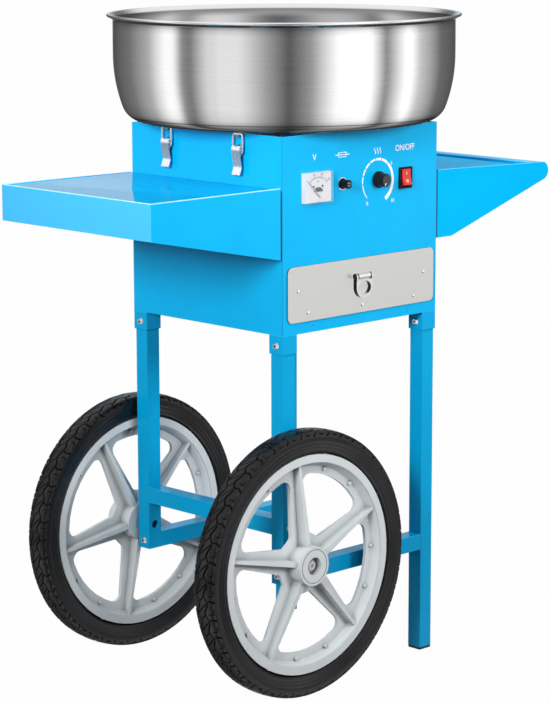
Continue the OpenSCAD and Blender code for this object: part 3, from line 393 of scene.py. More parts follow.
knob_grey = surface("knob_end_grey", (0.034, 0.036, 0.037), 0.5, spread=0.08, bump=0.1)
hole_shade = surface("hole_shade", (0.01, 0.01, 0.011), 0.8, spread=0.2, bump=0.1)
rocker_red = surface(
    "rocker_red", (0.60, 0.022, 0.016), 0.2, spread=0.06, bump=0.05, Subsurface_Weight=0.15, Subsurface_Scale=0.002
)
glass = surface("fuse_glass", (0.9, 0.93, 0.92), 0.05, spread=0.02, bump=0.02, Transmission_Weight=0.9)
clear = surface("clear_cover", (0.92, 0.92, 0.96), 0.06, spread=0.01, bump=0.02, Alpha=0.06)
seam_and_shade_blue = surface("seam_and_shade_blue", (0.0, 0.10, 0.22), 0.5, spread=0.1, bump=0.05)
wire_bright = surface("wire_bright", (0.93, 0.93, 0.93), 0.12, 1.0, spread=0.03, grain=200, bump=0.03)
# darker zinc: painted shade for the latch bases and bowl keepers, which sit in shade; also the dark metal end of the
# fuse cap
zinc_dark = surface("zinc_shade", (0.24, 0.26, 0.29), 0.3, 1.0, spread=0.08, grain=160, bump=0.1)
# painted shadow: dark for the drawer plate's sides and beside the rivets
shadow_black = surface("painted_shadow", (0.05, 0.052, 0.055), 0.5, spread=0.1, bump=0.1)
rivet_white = surface("rivet_white", (0.82, 0.82, 0.80), 0.35, spread=0.03, bump=0.05)
needle_grey = surface("needle_grey", (0.34, 0.33, 0.33), 0.5, spread=0.05, bump=0.05)


def brushed(name, color, rough, stretch, aniso, axis=None, contrast=1.0, shade_tones=None, metal=1.0):
    """Steel brushed in one direction: stretch draws out the scratches; axis names a spun piece's axis; shade_tones
    paints shade by height.
    """
    m = Nodes(name)
    source = m.place()
    spot = m.parts(source)
    if axis:
        flat = m.add("ShaderNodeCombineXYZ")
        m.link(spot["X"], flat.inputs["X"])
        m.link(spot["Y"], flat.inputs["Y"])
        far = m.add("ShaderNodeVectorMath", operation="LENGTH")
        m.link(flat.outputs["Vector"], far.inputs[0])
        rolled = m.add("ShaderNodeCombineXYZ")
        for key, value in (
            ("X", m.math("ARCTAN2", spot["Y"], spot["X"])), ("Y", far.outputs["Value"]), ("Z", spot["Z"]),
        ):
            m.link(value, rolled.inputs[key])
        source = rolled.outputs["Vector"]
        m.set(Tangent=m.add("ShaderNodeTangent", direction_type="RADIAL", axis=axis).outputs["Tangent"])
    lines = m.noise(1.0, 5.0, stretch, 0.6, source)
    base = m.ramp(lines, [(0.3, shade(color, 1 - 0.035 * contrast)), (0.7, shade(color, 1 + 0.03 * contrast))])
    if shade_tones:
        low, high, stops = shade_tones
        tone = m.ramp(m.span(spot["Z"], low * MM, high * MM), [(t, grey(v)) for t, v in stops])
        base = m.mix(1.0, base, tone, "MULTIPLY")
    m.set(
        Base_Color=base, Roughness=m.uneven(lines, rough, 0.15 * contrast),
        Normal=m.bump(lines, 0.012 * contrast, 0.0001), Metallic=metal, Anisotropic=aniso,
    )
    return m.mat


# painted shade: darker towards the floor's turn and under the rim
BOWL_SHADE_TONES = [
    (0.0, 0.13), (0.045, 0.2), (0.075, 0.52), (0.12, 0.86), (0.22, 1.0),
    (0.9, 1.0), (0.95, 0.8), (0.985, 0.42), (1.0, 0.22),
]
# painted shade inside: the inner wall darker, most just under the rim
INSIDE_SHADE_TONES = [(0.0, 0.55), (0.5, 0.5), (0.74, 0.3), (0.79, 0.3), (0.84, 0.95), (1.0, 1.0)]
bowl_steel = brushed(
    "bowl_steel", (0.80, 0.80, 0.798), 0.1, (2, 500, 500), 0.6, "Z", shade_tones=(BOWL_Z, 958, BOWL_SHADE_TONES)
)
bowl_inside = brushed(
    "bowl_inside", (0.98, 0.98, 0.978), 0.22, (2, 500, 500), 0.4, "Z", 0.5, shade_tones=(930, 964, INSIDE_SHADE_TONES)
)
plate_steel = brushed("plate_steel", (0.735, 0.73, 0.705), 0.42, (14, 500, 500), 0.3, None, 0.35, metal=0.7)


def shaded_metal(name, color, rough, source, axis, ends, stops, metal=1.0):
    """Metal with painted light and shade: its tone changes along an axis of the place at rest or of the direction it
    faces.
    """
    m = Nodes(name)
    along = m.span(m.parts(m.place(source))[axis], *ends)
    tone = m.ramp(along, [(t, tuple(a * b for a, b in zip(color, v))) for t, v in stops])
    grain = m.ramp(m.noise(220, 3.0), [(0.3, grey(0.94)), (0.7, grey(1.0))])
    m.set(
        Base_Color=m.mix(1.0, tone, grain, "MULTIPLY"), Roughness=m.uneven(m.noise(160, 3.0), rough), Metallic=metal,
    )
    return m.mat


# painted reflection on the levers: bright roll at the top and tab at the bottom, a darker bluish strip between
lever_heights = [c.z for c in points_of("lever_front_left")]
lever_sheen_steel = shaded_metal(
    "lever_sheen_steel", (0.95, 0.95, 0.95), 0.26, "Object", "Z", (min(lever_heights), max(lever_heights)),
    [
        (0.0, grey(1)), (0.24, grey(1)), (0.3, (0.42, 0.53, 0.63)),
        (0.82, (0.34, 0.44, 0.54)), (0.88, grey(1)), (1.0, grey(1)),
    ],
    metal=0.6,
)
# painted shade: the pull's faces turned to the left are nearly black
pull_shade_steel = shaded_metal(
    "pull_shade_steel", (0.88, 0.87, 0.84), 0.18, "Normal", "X", (-1.0, 1.0),
    [(0.0, grey(0.04)), (0.2, grey(0.06)), (0.36, grey(0.9)), (1.0, grey(1))],
)

# camera, from the photograph's viewing angle
camera = bpy.data.objects.new("camera", bpy.data.cameras.new("camera"))
scene.collection.objects.link(camera)
camera.data.sensor_width = 36.0
camera.data.lens = 132.496
camera.data.clip_end = 50.0
right = Vector((0.71696108, -0.69710893, -0.00244155))
up = Vector((0.12926032, 0.12949811, 0.98311851))
back = Vector((-0.68502452, -0.7051733, 0.18295363))
turn = Matrix((right, up, back)).transposed().to_4x4()
camera.matrix_world = Matrix.Translation((-2.66259, -2.72017, 1.16855)) @ turn
scene.camera = camera

# studio: white surroundings with strip lights for the metal
scene.view_settings.view_transform = "Standard"
world = bpy.data.worlds.new("studio")
scene.world = world
world.use_nodes = True
w = Tree(world.node_tree)
direction = w.parts(w.add("ShaderNodeTexCoord").outputs["Generated"])
azimuth = w.math("ARCTAN2", direction["Y"], direction["X"])
CAMERA_AZIMUTH = math.degrees(math.atan2(back.y, back.x))
# angle from the camera, to the right as the camera sees it, and brightness
STRIPS = [
    (-176, 0.7), (-167, 0.12), (-160, 0.08), (-125, 0.2), (-102, 0.5), (-86, 1.25), (-79, 1.25), (-72, 0.3),
    (-65, 0.2), (-52, 0.85), (-30, 0.95), (-12, 0.42), (3, 0.10), (18, 0.38), (36, 1.3), (58, 1.45), (71, 0.24),
    (80, 0.8), (91, 1.5), (102, 0.7), (128, 0.17), (165, 0.08), (172, 0.5),
]
strips = w.ramp(
    w.span(azimuth, -math.pi, math.pi),
    sorted((((CAMERA_AZIMUTH + a + 180) % 360) / 360, grey(v)) for a, v in STRIPS),
)


def by_height(low, high, value_low, value_high):
    """A value that changes with the direction's height between two heights."""
    return w.span(direction["Z"], low, high, value_low, value_high)


# darker below the horizon; the pale floor shows again further down, where a steep view is mirrored
dimmed = w.add("ShaderNodeVectorMath", operation="SCALE")
w.link(strips, dimmed.inputs[0])
below = w.math("MAXIMUM", by_height(-0.21, -0.125, 0.3, 1.0), by_height(-0.31, -0.25, 1.0, 0.0))
w.link(below, dimmed.inputs["Scale"])
# a pale card behind the left shelf, and a soft box overhead
card_left, card_right = (
    w.span(azimuth, math.radians(edge), math.radians(full)) for edge, full in ((44.2, 46.0), (57.0, 54.0))
)
card = w.math("MULTIPLY", card_left, card_right)
behind = w.mix(card, strips, (0.61, 0.74, 0.83))
around = w.mix(by_height(-0.03, 0.0, 0.0, 1.0), dimmed.outputs["Vector"], behind)
mirrored = w.mix(by_height(0.4, 0.55, 0.0, 1.0), around, (0.85, 0.85, 0.87))
ambient = w.mix(by_height(0.1, 0.95, 0.0, 1.0), (0.13, 0.132, 0.137), (1.12, 1.13, 1.15))
path = w.add("ShaderNodeLightPath")
lit = w.mix(path.outputs["Is Glossy Ray"], ambient, mirrored)
seen = w.mix(path.outputs["Is Camera Ray"], lit, (1.0, 1.0, 1.0))
w.link(seen, w.tree.nodes["Background"].inputs["Color"])


def area_light(name, place, target, size, power, spread=180):
    data = bpy.data.lights.new(name, "AREA")
    data.shape = "RECTANGLE"
    data.size, data.size_y = size
    data.energy = power
    data.spread = math.radians(spread)
    lamp = bpy.data.objects.new(name, data)
    scene.collection.objects.link(lamp)
    lamp.location = place
    lamp.rotation_euler = (Vector(target) - Vector(place)).to_track_quat("-Z", "Y").to_euler()
    return lamp


key = area_light("key", (-2.4, -0.95, 1.45), (0, 0, 1.0), (0.7, 0.7), 9.3, 60)
fill = area_light("fill", (0.4, -2.6, 1.45), (0.1, 0, 0.9), (0.8, 0.8), 7.7, 70)
behind_light = area_light("back_fill", (1.9, 2.3, 1.2), (0.1, 0.1, 0.8), (0.9, 0.9), 5.0, 70)
for lamp in (key, fill, behind_light):
    lamp.visible_glossy = False

# floor: white to the camera, with a faint contact shade
bm = bmesh.new()
bmesh.ops.create_grid(bm, x_segments=4, y_segments=4, size=30.0)
floor_mesh = from_bmesh(bm, "floor")
f = Nodes("floor")
f.set(Roughness=0.9, Base_Color=(0.2, 0.2, 0.21, 1.0))
glow = f.add("ShaderNodeEmission")
glow.inputs["Color"].default_value = (1.0, 1.0, 1.0, 1.0)
by_camera = f.add("ShaderNodeMixShader")
f.link(f.math("MULTIPLY", f.add("ShaderNodeLightPath").outputs["Is Camera Ray"], 0.985), by_camera.inputs["Fac"])
f.link(f.bsdf.outputs["BSDF"], by_camera.inputs[1])
f.link(glow.outputs["Emission"], by_camera.inputs[2])
f.link(by_camera.outputs["Shader"], f.tree.nodes["Material Output"].inputs["Surface"])
floor = bpy.data.objects.new("floor", floor_mesh)
floor_mesh.materials.append(f.mat)
floor.location.z = -0.0005
floor.visible_glossy = False
scene.collection.objects.link(floor)

# painted sheet and tube, with softened edges
PAINTS = {"left_shelf": blue_shelf, "right_shelf": blue_tray, "top_plate": blue_dull_shaded}
for node in ("cabinet_shell", "front_panel", "top_plate", "bottom_plate", "left_shelf", "right_shelf"):
    skin = dress(node, PAINTS.get(node, blue), 0.7, 3)
    skin.visible_glossy = node not in PAINTS
    if node == "left_shelf":
        # the far lip runs out towards the cabinet
        top = max(v.co.z for v in skin.data.vertices)
        for v in skin.data.vertices:
            if v.co.z > top - 1.5 * MM and v.co.y > 150 * MM and v.co.x > -300 * MM:
                v.co.z -= 2.4 * MM
for node in ("leg_sockets", *("leg_" + corner for corner in CORNERS), "front_brace", "back_brace", "left_brace"):
    dress(node, blue_tube_shaded, 0.9, 3)
for node in ("foot_caps", "bowl_pads"):
    dress(node, rubber_black, 0.8, 2)
for node in ("divider_plate", "drawer_runners", "drawer_box", "motor_plate"):
    dress(node, zinc, 0.3, 1)
# painted shade: latch bases and keepers in the darker zinc
for node in ("latch_bases", "bowl_keepers"):
    dress(node, zinc_dark, 0.3, 1)
for node in ("front_wheel", "back_wheel"):
    dress(node, wheel_grey, 1.0, 2, 25)
JOINTS = {j["name"]: j for j in frame["record"]["behaviour"]["joints"]}
for corner in CORNERS:
    skin = dress("lever_" + corner, lever_sheen_steel, 0.25, 2)
    # a little air in the lever's eyes for the wire's ends
    eye = JOINTS["bail_swing_" + corner]["pos_m"]
    for v in skin.data.vertices:
        out = Vector((v.co.x - eye[0], 0, v.co.z - eye[2]))
        if out.length < 1.45 * MM:
            v.co += out.normalized() * 0.2 * MM
    paint_node("bail_" + corner, wire_bright)
for node, material in {
    "axle_bolts": bright, "frame_bolts": bright, "axle_fixings": zinc, "motor_shaft": zinc, "motor": enamel,
    "motor_mounts": rubber_black, "slip_rings": brass, "heater_ribbon": brass, "brush_holder": plastic_black,
    "regulator": plastic_black, "fuse": glass,
}.items():
    paint_node(node, material)
for node, material, width in (
    ("spinner_base", cast, 0.6), ("spinner_cover", cast, 0.5), ("cable_gland", plastic_black, 0.5),
    ("switch_body", gloss_black, 0.5), ("rocker", rocker_red, 0.7), ("fuse_holder", gloss_black, 0.5),
    ("fuse_cap", gloss_black, 0.5), ("knob", plastic_black, 0.4), ("drawer_front", plate_steel, 0.4),
    ("pull_bracket", pull_shade_steel, 0.3), ("meter_case", dial_white, 0.3), ("meter_cover", clear, 0.6),
    ("meter_needle", needle_grey, 0.0),
):
    skin = dress(node, material, width)
    # painted shadow: the plate's side faces are dark, for the shade in the gap behind it
    if node == "drawer_front":
        skin.data.materials.append(shadow_black)
        for face in skin.data.polygons:
            face.material_index = 1 if abs(face.normal.y) < 0.5 else 0
    if node == "pull_bracket":
        skin.visible_shadow = False
        skin.visible_glossy = False
        skin.data.materials.append(plate_steel)
        for face in skin.data.polygons:
            face.material_index = 1 if face.normal.y < -0.98 and face.center.z < 588 * MM else 0
    if node == "meter_needle":
        # the dial stands up close to the clear front, and the needle with it
        skin.data.transform(Matrix.Translation((0, -3.3 * MM, 0)))


# bowl: spun steel, turned from its profile
def bowl_profile():
    """Outer skin from the floor's hole up to the rim, then down the inner skin; and how many points are outside."""
    wall, top_r, turn_r, side_r, lean = 251.0, 252.0, 32.0, 220.0, math.radians(20)
    turn_x = wall - side_r + (side_r - turn_r) * math.cos(lean)
    turn_z = BOWL_Z + turn_r
    side_z = turn_z + (side_r - turn_r) * math.sin(lean)

    def skin(inset):
        pts = []
        for i in range(13):
            a = -math.pi / 2 + (math.pi / 2 - lean) * i / 12
            pts.append((turn_x + (turn_r - inset) * math.cos(a), turn_z + (turn_r - inset) * math.sin(a)))
        for i in range(1, 13):
            a = -lean + lean * i / 12
            pts.append((wall - side_r + (side_r - inset) * math.cos(a), side_z + (side_r - inset) * math.sin(a)))
        return pts

    outer = [(45.0, BOWL_Z), (70.0, BOWL_Z), (130.0, BOWL_Z), (190.0, BOWL_Z)] + skin(0.0)
    # the rim flares out and ends in a thin rolled edge
    rim = [(top_r - 1.0, 930.0), (top_r - 1.2, 955.4), (252.2, 956.4), (254.6, 958.2), (256.4, 959.4)]
    for i in range(9):
        a = math.radians(-125 + 235 * i / 8)
        rim.append((257.8 + 2.1 * math.cos(a), 961.8 + 2.1 * math.sin(a)))
    inner = [(255.6, 962.4), (253.4, 960.2), (251.4, 957.8), (top_r - 2.4, 956.0), (top_r - 2.2, 930.0)]
    inner += skin(1.2)[::-1]
    # flat floor, and a small turned-up lip round the hole
    inner += [(r, BOWL_Z + 1.2) for r in (190.0, 130.0, 70.0, 48.0)]
    inner += [(r, BOWL_Z + z) for r, z in ((47.0, 1.8), (46.2, 2.6), (46.2, 3.7), (45.6, 4.0), (45.0, 3.7))]
    # the outside ends at the second point of the rolled edge
    return outer + rim + inner, len(outer) + 6


ROUND = 224
profile, outside = bowl_profile()
bm = bmesh.new()
lathe(bm, profile, ROUND, closed=True)
mesh = from_bmesh(bm, "bowl_skin", 50)
# the walls were spun straight: their shine runs straight up, down to the turn of the floor
normals = [v.normal.copy() for v in mesh.vertices]
for k, (radius, height) in enumerate(profile):
    if radius < 200 or not BOWL_Z + 0.5 < height < 956:
        continue
    share = min(1.0, max(0.0, (height - BOWL_Z + 2) / 14))
    for i in range(ROUND):
        n = normals[k * ROUND + i]
        flat = Vector((n.x, n.y, 0)).normalized()
        normals[k * ROUND + i] = n.lerp(flat, share).normalized()
mesh.normals_split_custom_set_from_vertices(normals)
bowl = add_object("bowl_skin", mesh, bowl_steel, "frame")
mesh.materials.append(bowl_inside)
mesh.polygons.foreach_set("material_index", [int(i >= outside * ROUND) for i in range(len(mesh.polygons))])
bowl.visible_glossy = False
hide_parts("bowl")


# tyres: wavy tread blocks on a round section
TREADS = 44
PER_TREAD = 32
TYRE_R = 195.0
# half section from the crown's middle to the bead: (sideways, radius)
TYRE_HALF = [
    (0.0, 195.0), (3.0, 194.95), (6.0, 194.8), (9.0, 194.5), (12.0, 194.1), (14.5, 193.65), (16.4, 192.3),
    (17.7, 190.6), (18.5, 188.7), (18.9, 186.7), (19.0, 184.4), (19.0, 181.4), (18.9, 178.6), (18.6, 176.2),
    (17.9, 175.6), (17.9, 174.9), (18.6, 174.3), (18.5, 171.0), (17.8, 170.4), (17.8, 169.7), (18.4, 169.1),
    (18.1, 167.0), (17.2, 165.0), (15.8, 163.2), (14.0, 161.8), (12.0, 160.9), (10.0, 160.3),
]


def resample(points, step, reach):
    """Points every step millimetres along a line, up to reach, and the given points after that."""
    out, along = [], 0.0
    lengths = [0.0]
    for (x0, y0), (x1, y1) in zip(points, points[1:]):
        lengths.append(lengths[-1] + math.hypot(x1 - x0, y1 - y0))
    while along < reach:
        k = min(max(i for i, v in enumerate(lengths) if v <= along), len(points) - 2)
        t = (along - lengths[k]) / (lengths[k + 1] - lengths[k])
        (x0, y0), (x1, y1) = points[k], points[k + 1]
        out.append((x0 + (x1 - x0) * t, y0 + (y1 - y0) * t, along))
        along += step
    out += [(x, y, v) for (x, y), v in zip(points, lengths) if v > reach]
    return out


def groove(distance, half, depth, soft=0.55):
    """Depth of a groove at a distance from its middle line."""
    t = min(1.0, max(0.0, (half + soft - abs(distance)) / soft))
    return depth * t * t * (3 - 2 * t)


def tread_depth(along, across, pitch):
    """How deep the tread is cut at a place along the tyre and across it, in millimetres."""
    side = 1 if across >= 0 else -1
    far = abs(across)
    c = (along + (0.0 if side > 0 else 0.5 * pitch)) % pitch
    cuts = []
    wave = 7.6 + 2.6 * math.asin(0.94 * math.sin(2 * math.pi * c / pitch))
    cuts.append(groove(far - wave, 0.8, 2.6))
    if far > wave:
        t = (far - 8.0) / 14.0
        middle = pitch * 0.25 + 5.0 * math.sin(t * math.pi * 0.9)
        d = (c - middle + pitch / 2) % pitch - pitch / 2
        cuts.append(groove(d, 0.75, 2.5) * min(1.0, max(0.0, (24.5 - far) / 2.5)))
        if 12.5 < far < 20.2:
            e = (c - pitch * 0.72 + pitch / 2) % pitch - pitch / 2
            cuts.append(groove(e, 0.4, 1.5, 0.6))
        if abs((c - pitch * 0.86 + pitch / 2) % pitch - pitch / 2) < 0.15 * pitch:
            cuts.append(groove(far - 20.2, 0.4, 1.3, 0.6))
    else:
        d = (along - 0.9 * across + pitch / 4) % (pitch / 2) - pitch / 4
        cuts.append(groove(d, 0.5, 1.9, 0.6))
    return max(cuts)


def tyre_mesh():
    half = resample(TYRE_HALF, 0.8, 26.0)
    section = [(-x, r, -v) for x, r, v in half[:0:-1]] + half
    count = TREADS * PER_TREAD
    pitch = 2 * math.pi * TYRE_R / TREADS
    normals = []
    for i, (x, r, v) in enumerate(section):
        a, b = section[max(i - 1, 0)], section[min(i + 1, len(section) - 1)]
        dx, dr = b[0] - a[0], b[1] - a[1]
        size = math.hypot(dx, dr)
        normals.append((-dr / size, dx / size))
    cut = [[tread_depth(k * pitch / PER_TREAD, v, pitch) for x, r, v in section] for k in range(PER_TREAD)]
    verts, faces = [], []
    for i in range(count):
        a = 2 * math.pi * i / count
        ca, sa = math.cos(a), math.sin(a)
        for (x, r, v), (nx, nr), depth in zip(section, normals, cut[i % PER_TREAD]):
            rr = (r - nr * depth) * MM
            verts.append((rr * ca, (x - nx * depth) * MM, rr * sa))
    n = len(section)
    for i in range(count):
        j = (i + 1) % count
        for k in range(n - 1):
            faces.append((i * n + k, j * n + k, j * n + k + 1, i * n + k + 1))
        faces.append((i * n + n - 1, j * n + n - 1, j * n, i * n))
    mesh = bpy.data.meshes.new("tyre")
    mesh.from_pydata(verts, [], faces)
    soften(mesh, 50)
    return mesh


tyre = tyre_mesh()
for name, side, spin in (("front", -1, math.pi), ("back", 1, 0.0)):
    obj = bpy.data.objects.new(name + "_tyre_skin", tyre)
    middle = Vector((WHEEL_X, side * WHEEL_Y, WHEEL_Z)) * MM
    obj.matrix_world = Matrix.Translation(middle) @ Matrix.Rotation(spin, 4, "Z")
    scene.collection.objects.link(obj)
    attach(obj, "wheel_" + name)
    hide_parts(name + "_tyre")
tyre.materials.append(tyre_black)


# pegs that the wheels' mould leaves beside the windows
for name, side, phase in (("front", -1, 24), ("back", 1, 45)):
    bm = bmesh.new()
    for i in range(5):
        for swing in (-12.5, 12.5):
            a = math.radians(phase + 36 + 72 * i + swing)
            x, z = WHEEL_X + 138.5 * math.cos(a), WHEEL_Z + 138.5 * math.sin(a)
            for face in (-1, 1):
                place = facing(x, side * WHEEL_Y + face * 2.0, z, (0, face, 0))
                lathe(bm, [(0, 0), (2.9, 0), (2.8, 4.2), (2.2, 4.8), (0, 4.9)], 20, place)
    pegs = from_bmesh(bm, name + "_wheel_pegs", 40)
    add_object(name + "_wheel_pegs", pegs, wheel_grey, "wheel_" + name)


# seams where the front panel meets the wrapped shell, and a painted shade in the right shelf's gap
def add_box(bm, middle, size):
    place = Matrix.Translation(Vector(middle) * MM) @ Matrix.Diagonal((*(s * MM for s in size), 1.0))
    bmesh.ops.create_cube(bm, size=1.0, matrix=place)


bm = bmesh.new()
for side in (-1, 1):
    add_box(bm, (side * (HALF + 0.01), FRONT + 1.2, 663.0), (0.06, 0.8, 280.0))
# a dark sheet that paints the shade in the gap between the cabinet and the right shelf's near side
near_side = [c / MM for c in points_of("right_shelf") if c.y < (FRONT + 0.1) * MM]
gap_end = min(c.x for c in near_side)
heights = [c.z for c in near_side if c.x < gap_end + 2]
low, high = min(heights), max(heights)
add_box(bm, ((HALF + gap_end) / 2, FRONT + 0.9, (low + high) / 2), (gap_end - HALF, 0.6, high - low - 0.6))
add_object("panel_seams_and_gap_shade", from_bmesh(bm, "panel_seams_and_gap_shade"), seam_and_shade_blue, "frame")


# prints on the front panel
def band(bm, matrix, start, end, outer, inner, steps, depth):
    """Ring segment between two angles in degrees; outer and inner give the radius at 0 to 1."""
    rows = []
    for i in range(steps + 1):
        t = i / steps
        a = math.radians(start + (end - start) * t)
        row = []
        for radius in (outer(t), inner(t)):
            for height in (0.0, depth):
                point = Vector((radius * math.cos(a), radius * math.sin(a), height)) * MM
                row.append(bm.verts.new(matrix @ point))
        rows.append(row)
    for (a0, a1, a2, a3), (b0, b1, b2, b3) in zip(rows, rows[1:]):
        for quad in ((a0, b0, b1, a1), (a1, b1, b3, a3), (a3, b3, b2, a2), (a2, b2, b0, a0)):
            bm.faces.new(quad)
    for r in (rows[0], rows[-1]):
        bm.faces.new((r[0], r[1], r[3], r[2]))


def letters(name, words, x, z, size, material, y, squeeze=1.0):
    """Plain lettering, centred at a place, in the built-in typeface."""
    curve = bpy.data.curves.new(name, "FONT")
    curve.body = words
    curve.size = size * MM
    curve.extrude = 0.08 * MM
    curve.align_x = "CENTER"
    curve.align_y = "CENTER"
    holder = bpy.data.objects.new(name + "_curve", curve)
    mesh = bpy.data.meshes.new_from_object(holder)
    bpy.data.objects.remove(holder)
    bpy.data.curves.remove(curve)
    mesh.transform(front_matrix(x, z, y) @ Matrix.Diagonal((squeeze, 1, 1, 1)))
    mesh.name = name
    add_object(name, mesh, material, "frame")


PRINT_Y = FRONT - 0.02
# dial scale: a band that grows from the off end to the full end, cut by gaps on its first half
DIAL = front_matrix(33.6, 726.9, PRINT_Y)
SCALE_START, SCALE_END = 227.0, -60.0
GAPS = [227.0, 186.0, 164.0, 143.0, 121.0, 99.0, 76.0, 51.0, -60.0]
bm = bmesh.new()
for low, high in zip(GAPS, GAPS[1:]):
    first = low - (1.6 if low != SCALE_START else 0.0)
    last = high + (1.6 if high != SCALE_END else 0.0)

    def share_at(t, first=first, last=last):
        return (SCALE_START - (first + (last - first) * t)) / (SCALE_START - SCALE_END)

    def inner_edge(t):
        return 31.7 + 1.2 * share_at(t) - 4.6 * share_at(t) ** 0.9

    band(bm, DIAL, first, last, lambda t: 32.6 + 1.2 * share_at(t), inner_edge, 14, 0.1)
add_object("dial_scale", from_bmesh(bm, "dial_scale"), white_print, "frame")
letters("dial_low", "0", 11.5, 695.5, 7.6, white_print, PRINT_Y)
letters("dial_mid", "5", 62.0, 750.5, 7.0, white_print, PRINT_Y)
letters("dial_high", "10", 64.5, 695.5, 7.0, white_print, PRINT_Y)
letters("switch_words", "ON/OFF", SWITCH[0], 771.0, 12.6, white_print, PRINT_Y, squeeze=0.9)
letters("meter_word", "V", METER[0], WORDS_Z, 12.6, white_print, PRINT_Y)
# plain signs over the fuse and the knob: a fuse link and three rising waves
bm = bmesh.new()
sign = front_matrix(FUSE[0], WORDS_Z, PRINT_Y)
for x0, y0, x1, y1 in (
    (-14, -0.5, -8, 0.5), (8, -0.5, 14, 0.5), (-8, -3.6, 8, -2.8), (-8, 2.8, 8, 3.6),
    (-8, -2.8, -7.2, 2.8), (7.2, -2.8, 8, 2.8), (-7.2, -0.4, 7.2, 0.4),
):
    extrude_outline(bm, [(x0, y0), (x1, y0), (x1, y1), (x0, y1)], 0.1, sign)
sign = front_matrix(KNOB[0], WORDS_Z, PRINT_Y)
for shift in (-5.5, 0.0, 5.5):
    left, right_side = [], []
    for i in range(17):
        y = -4.6 + 9.2 * i / 16
        x = shift + 1.1 * math.sin(2 * math.pi * i / 16)
        left.append((x - 0.55, y))
        right_side.append((x + 0.55, y))
    extrude_outline(bm, right_side + left[::-1], 0.1, sign)
add_object("panel_signs", from_bmesh(bm, "panel_signs"), white_print, "frame")

# voltmeter's dial: scale, letter, hood and adjusting screw
DIAL_Y = FRONT - 7.0
PIVOT_Z = 718.0
bm = bmesh.new()
outline = [(-25.6, -21.1), (25.6, -21.1), (25.6, 21.1), (-25.6, 21.1)]
extrude_outline(bm, outline, 3.98, front_matrix(*METER, FRONT - 3.0))
add_object("meter_dial", from_bmesh(bm, "meter_dial"), dial_white, "frame")
bm = bmesh.new()
meter = front_matrix(METER[0], PIVOT_Z, DIAL_Y)
band(bm, meter, 45, 135, lambda t: 25.2, lambda t: 24.6, 32, 0.05)
for i in range(16):
    a = 45 + 6 * i
    long = 29.0 if i % 5 == 0 else 27.0
    width = 0.7 if i % 5 == 0 else 0.45
    band(bm, meter, a - width, a + width, lambda t: long, lambda t: 24.9, 1, 0.05)
half_turn = [math.pi * i / 20 for i in range(21)]
extrude_outline(bm, [(8.2 * math.cos(a), 5.2 + 6.2 * math.sin(a)) for a in half_turn], 1.4, meter)
for x in (-8.8, 8.8):
    lathe(bm, [(0, 0), (1.7, 0), (1.7, 0.3), (0, 0.4)], 20, front_matrix(METER[0] + x, 730.5, DIAL_Y))
add_object("meter_scale", from_bmesh(bm, "meter_scale"), black_print, "frame")
letters("meter_unit", "V", METER[0], 737.0, 5.6, black_print, DIAL_Y)
for i, words in enumerate(("300", "200", "100", "0")):
    a = math.radians(45 + 30 * i)
    x, z = METER[0] + 31.0 * math.cos(a), PIVOT_Z + 30.4 * math.sin(a)
    letters("meter_number_%d" % i, words, x, z, 3.4, black_print, DIAL_Y)
bm = bmesh.new()
extrude_outline(bm, [(-9.5, -9.5), (9.5, -9.5), (8.6, 3.4), (-8.6, 3.4)], 0.08, meter)
lathe(bm, [(0, 0), (2.6, 0), (2.6, 0.9), (2.2, 1.2), (0, 1.2)], 28, front_matrix(METER[0], 712.5, DIAL_Y))
add_object("meter_shroud", from_bmesh(bm, "meter_shroud"), dial_white, "frame")

# fuse: nickel ring on the panel and a metal end on the cap
bm = bmesh.new()
lathe(bm, [(8.1, 0), (9.4, 0), (9.4, 0.8), (8.9, 1.3), (8.1, 1.3)], 48, front_matrix(*FUSE), closed=True)
add_object("fuse_ring", from_bmesh(bm, "fuse_ring", 40), bright, "frame")
bm = bmesh.new()
cap_face = front_matrix(*FUSE, FRONT - 13.28)
points = [(3.4 * math.cos(a), max(3.4 * math.sin(a), 0.8)) for a in half_turn]
for turn_by in (0, math.pi):
    extrude_outline(bm, points, 0.3, cap_face @ Matrix.Rotation(turn_by, 4, "Z"))
add_object("fuse_cap_end", from_bmesh(bm, "fuse_cap_end"), zinc_dark, "fuse_unit")

# knob: pointer and a dull end face
knob_face = front_matrix(*KNOB, FRONT - 18.5)
bm = bmesh.new()
lathe(bm, [(0, -0.05), (8.0, -0.05), (8.0, 0.1), (0, 0.1)], 48, knob_face)
add_object("knob_end", from_bmesh(bm, "knob_end"), knob_grey, "control_knob")
bm = bmesh.new()
to_off = Matrix.Rotation(math.radians(155), 4, "Z")
extrude_outline(bm, [(-0.7, 4.2), (0.7, 4.2), (0.7, 8.6), (-0.7, 8.6)], 0.22, knob_face @ to_off)
add_object("knob_pointer", from_bmesh(bm, "knob_pointer"), white_print, "control_knob")

# rocker: plain line and ring
tilt = Matrix.Translation(Vector((SWITCH[0], -156.0, SWITCH[1])) * MM) @ Matrix.Rotation(math.radians(-8), 4, "X")


def rocker_face(sign, along):
    """Drawing plane on the rocker's upper or lower face."""
    v = Vector((0, -1.6 * sign, 11.6)).normalized()
    u = Vector((1, 0, 0))
    n = u.cross(v)
    o = Vector((0, -7.0 - 1.6 * along / 11.6, sign * along)) * MM
    return tilt @ Matrix((*((u[i], v[i], n[i], o[i]) for i in range(3)), (0, 0, 0, 1)))


bm = bmesh.new()
extrude_outline(bm, [(-0.4, -1.9), (0.4, -1.9), (0.4, 1.9), (-0.4, 1.9)], 0.08, rocker_face(1, 5.6))
band(bm, rocker_face(-1, 5.6), 0, 360, lambda t: 2.1, lambda t: 1.4, 28, 0.08)
add_object("rocker_marks", from_bmesh(bm, "rocker_marks"), white_print, "switch_rocker")

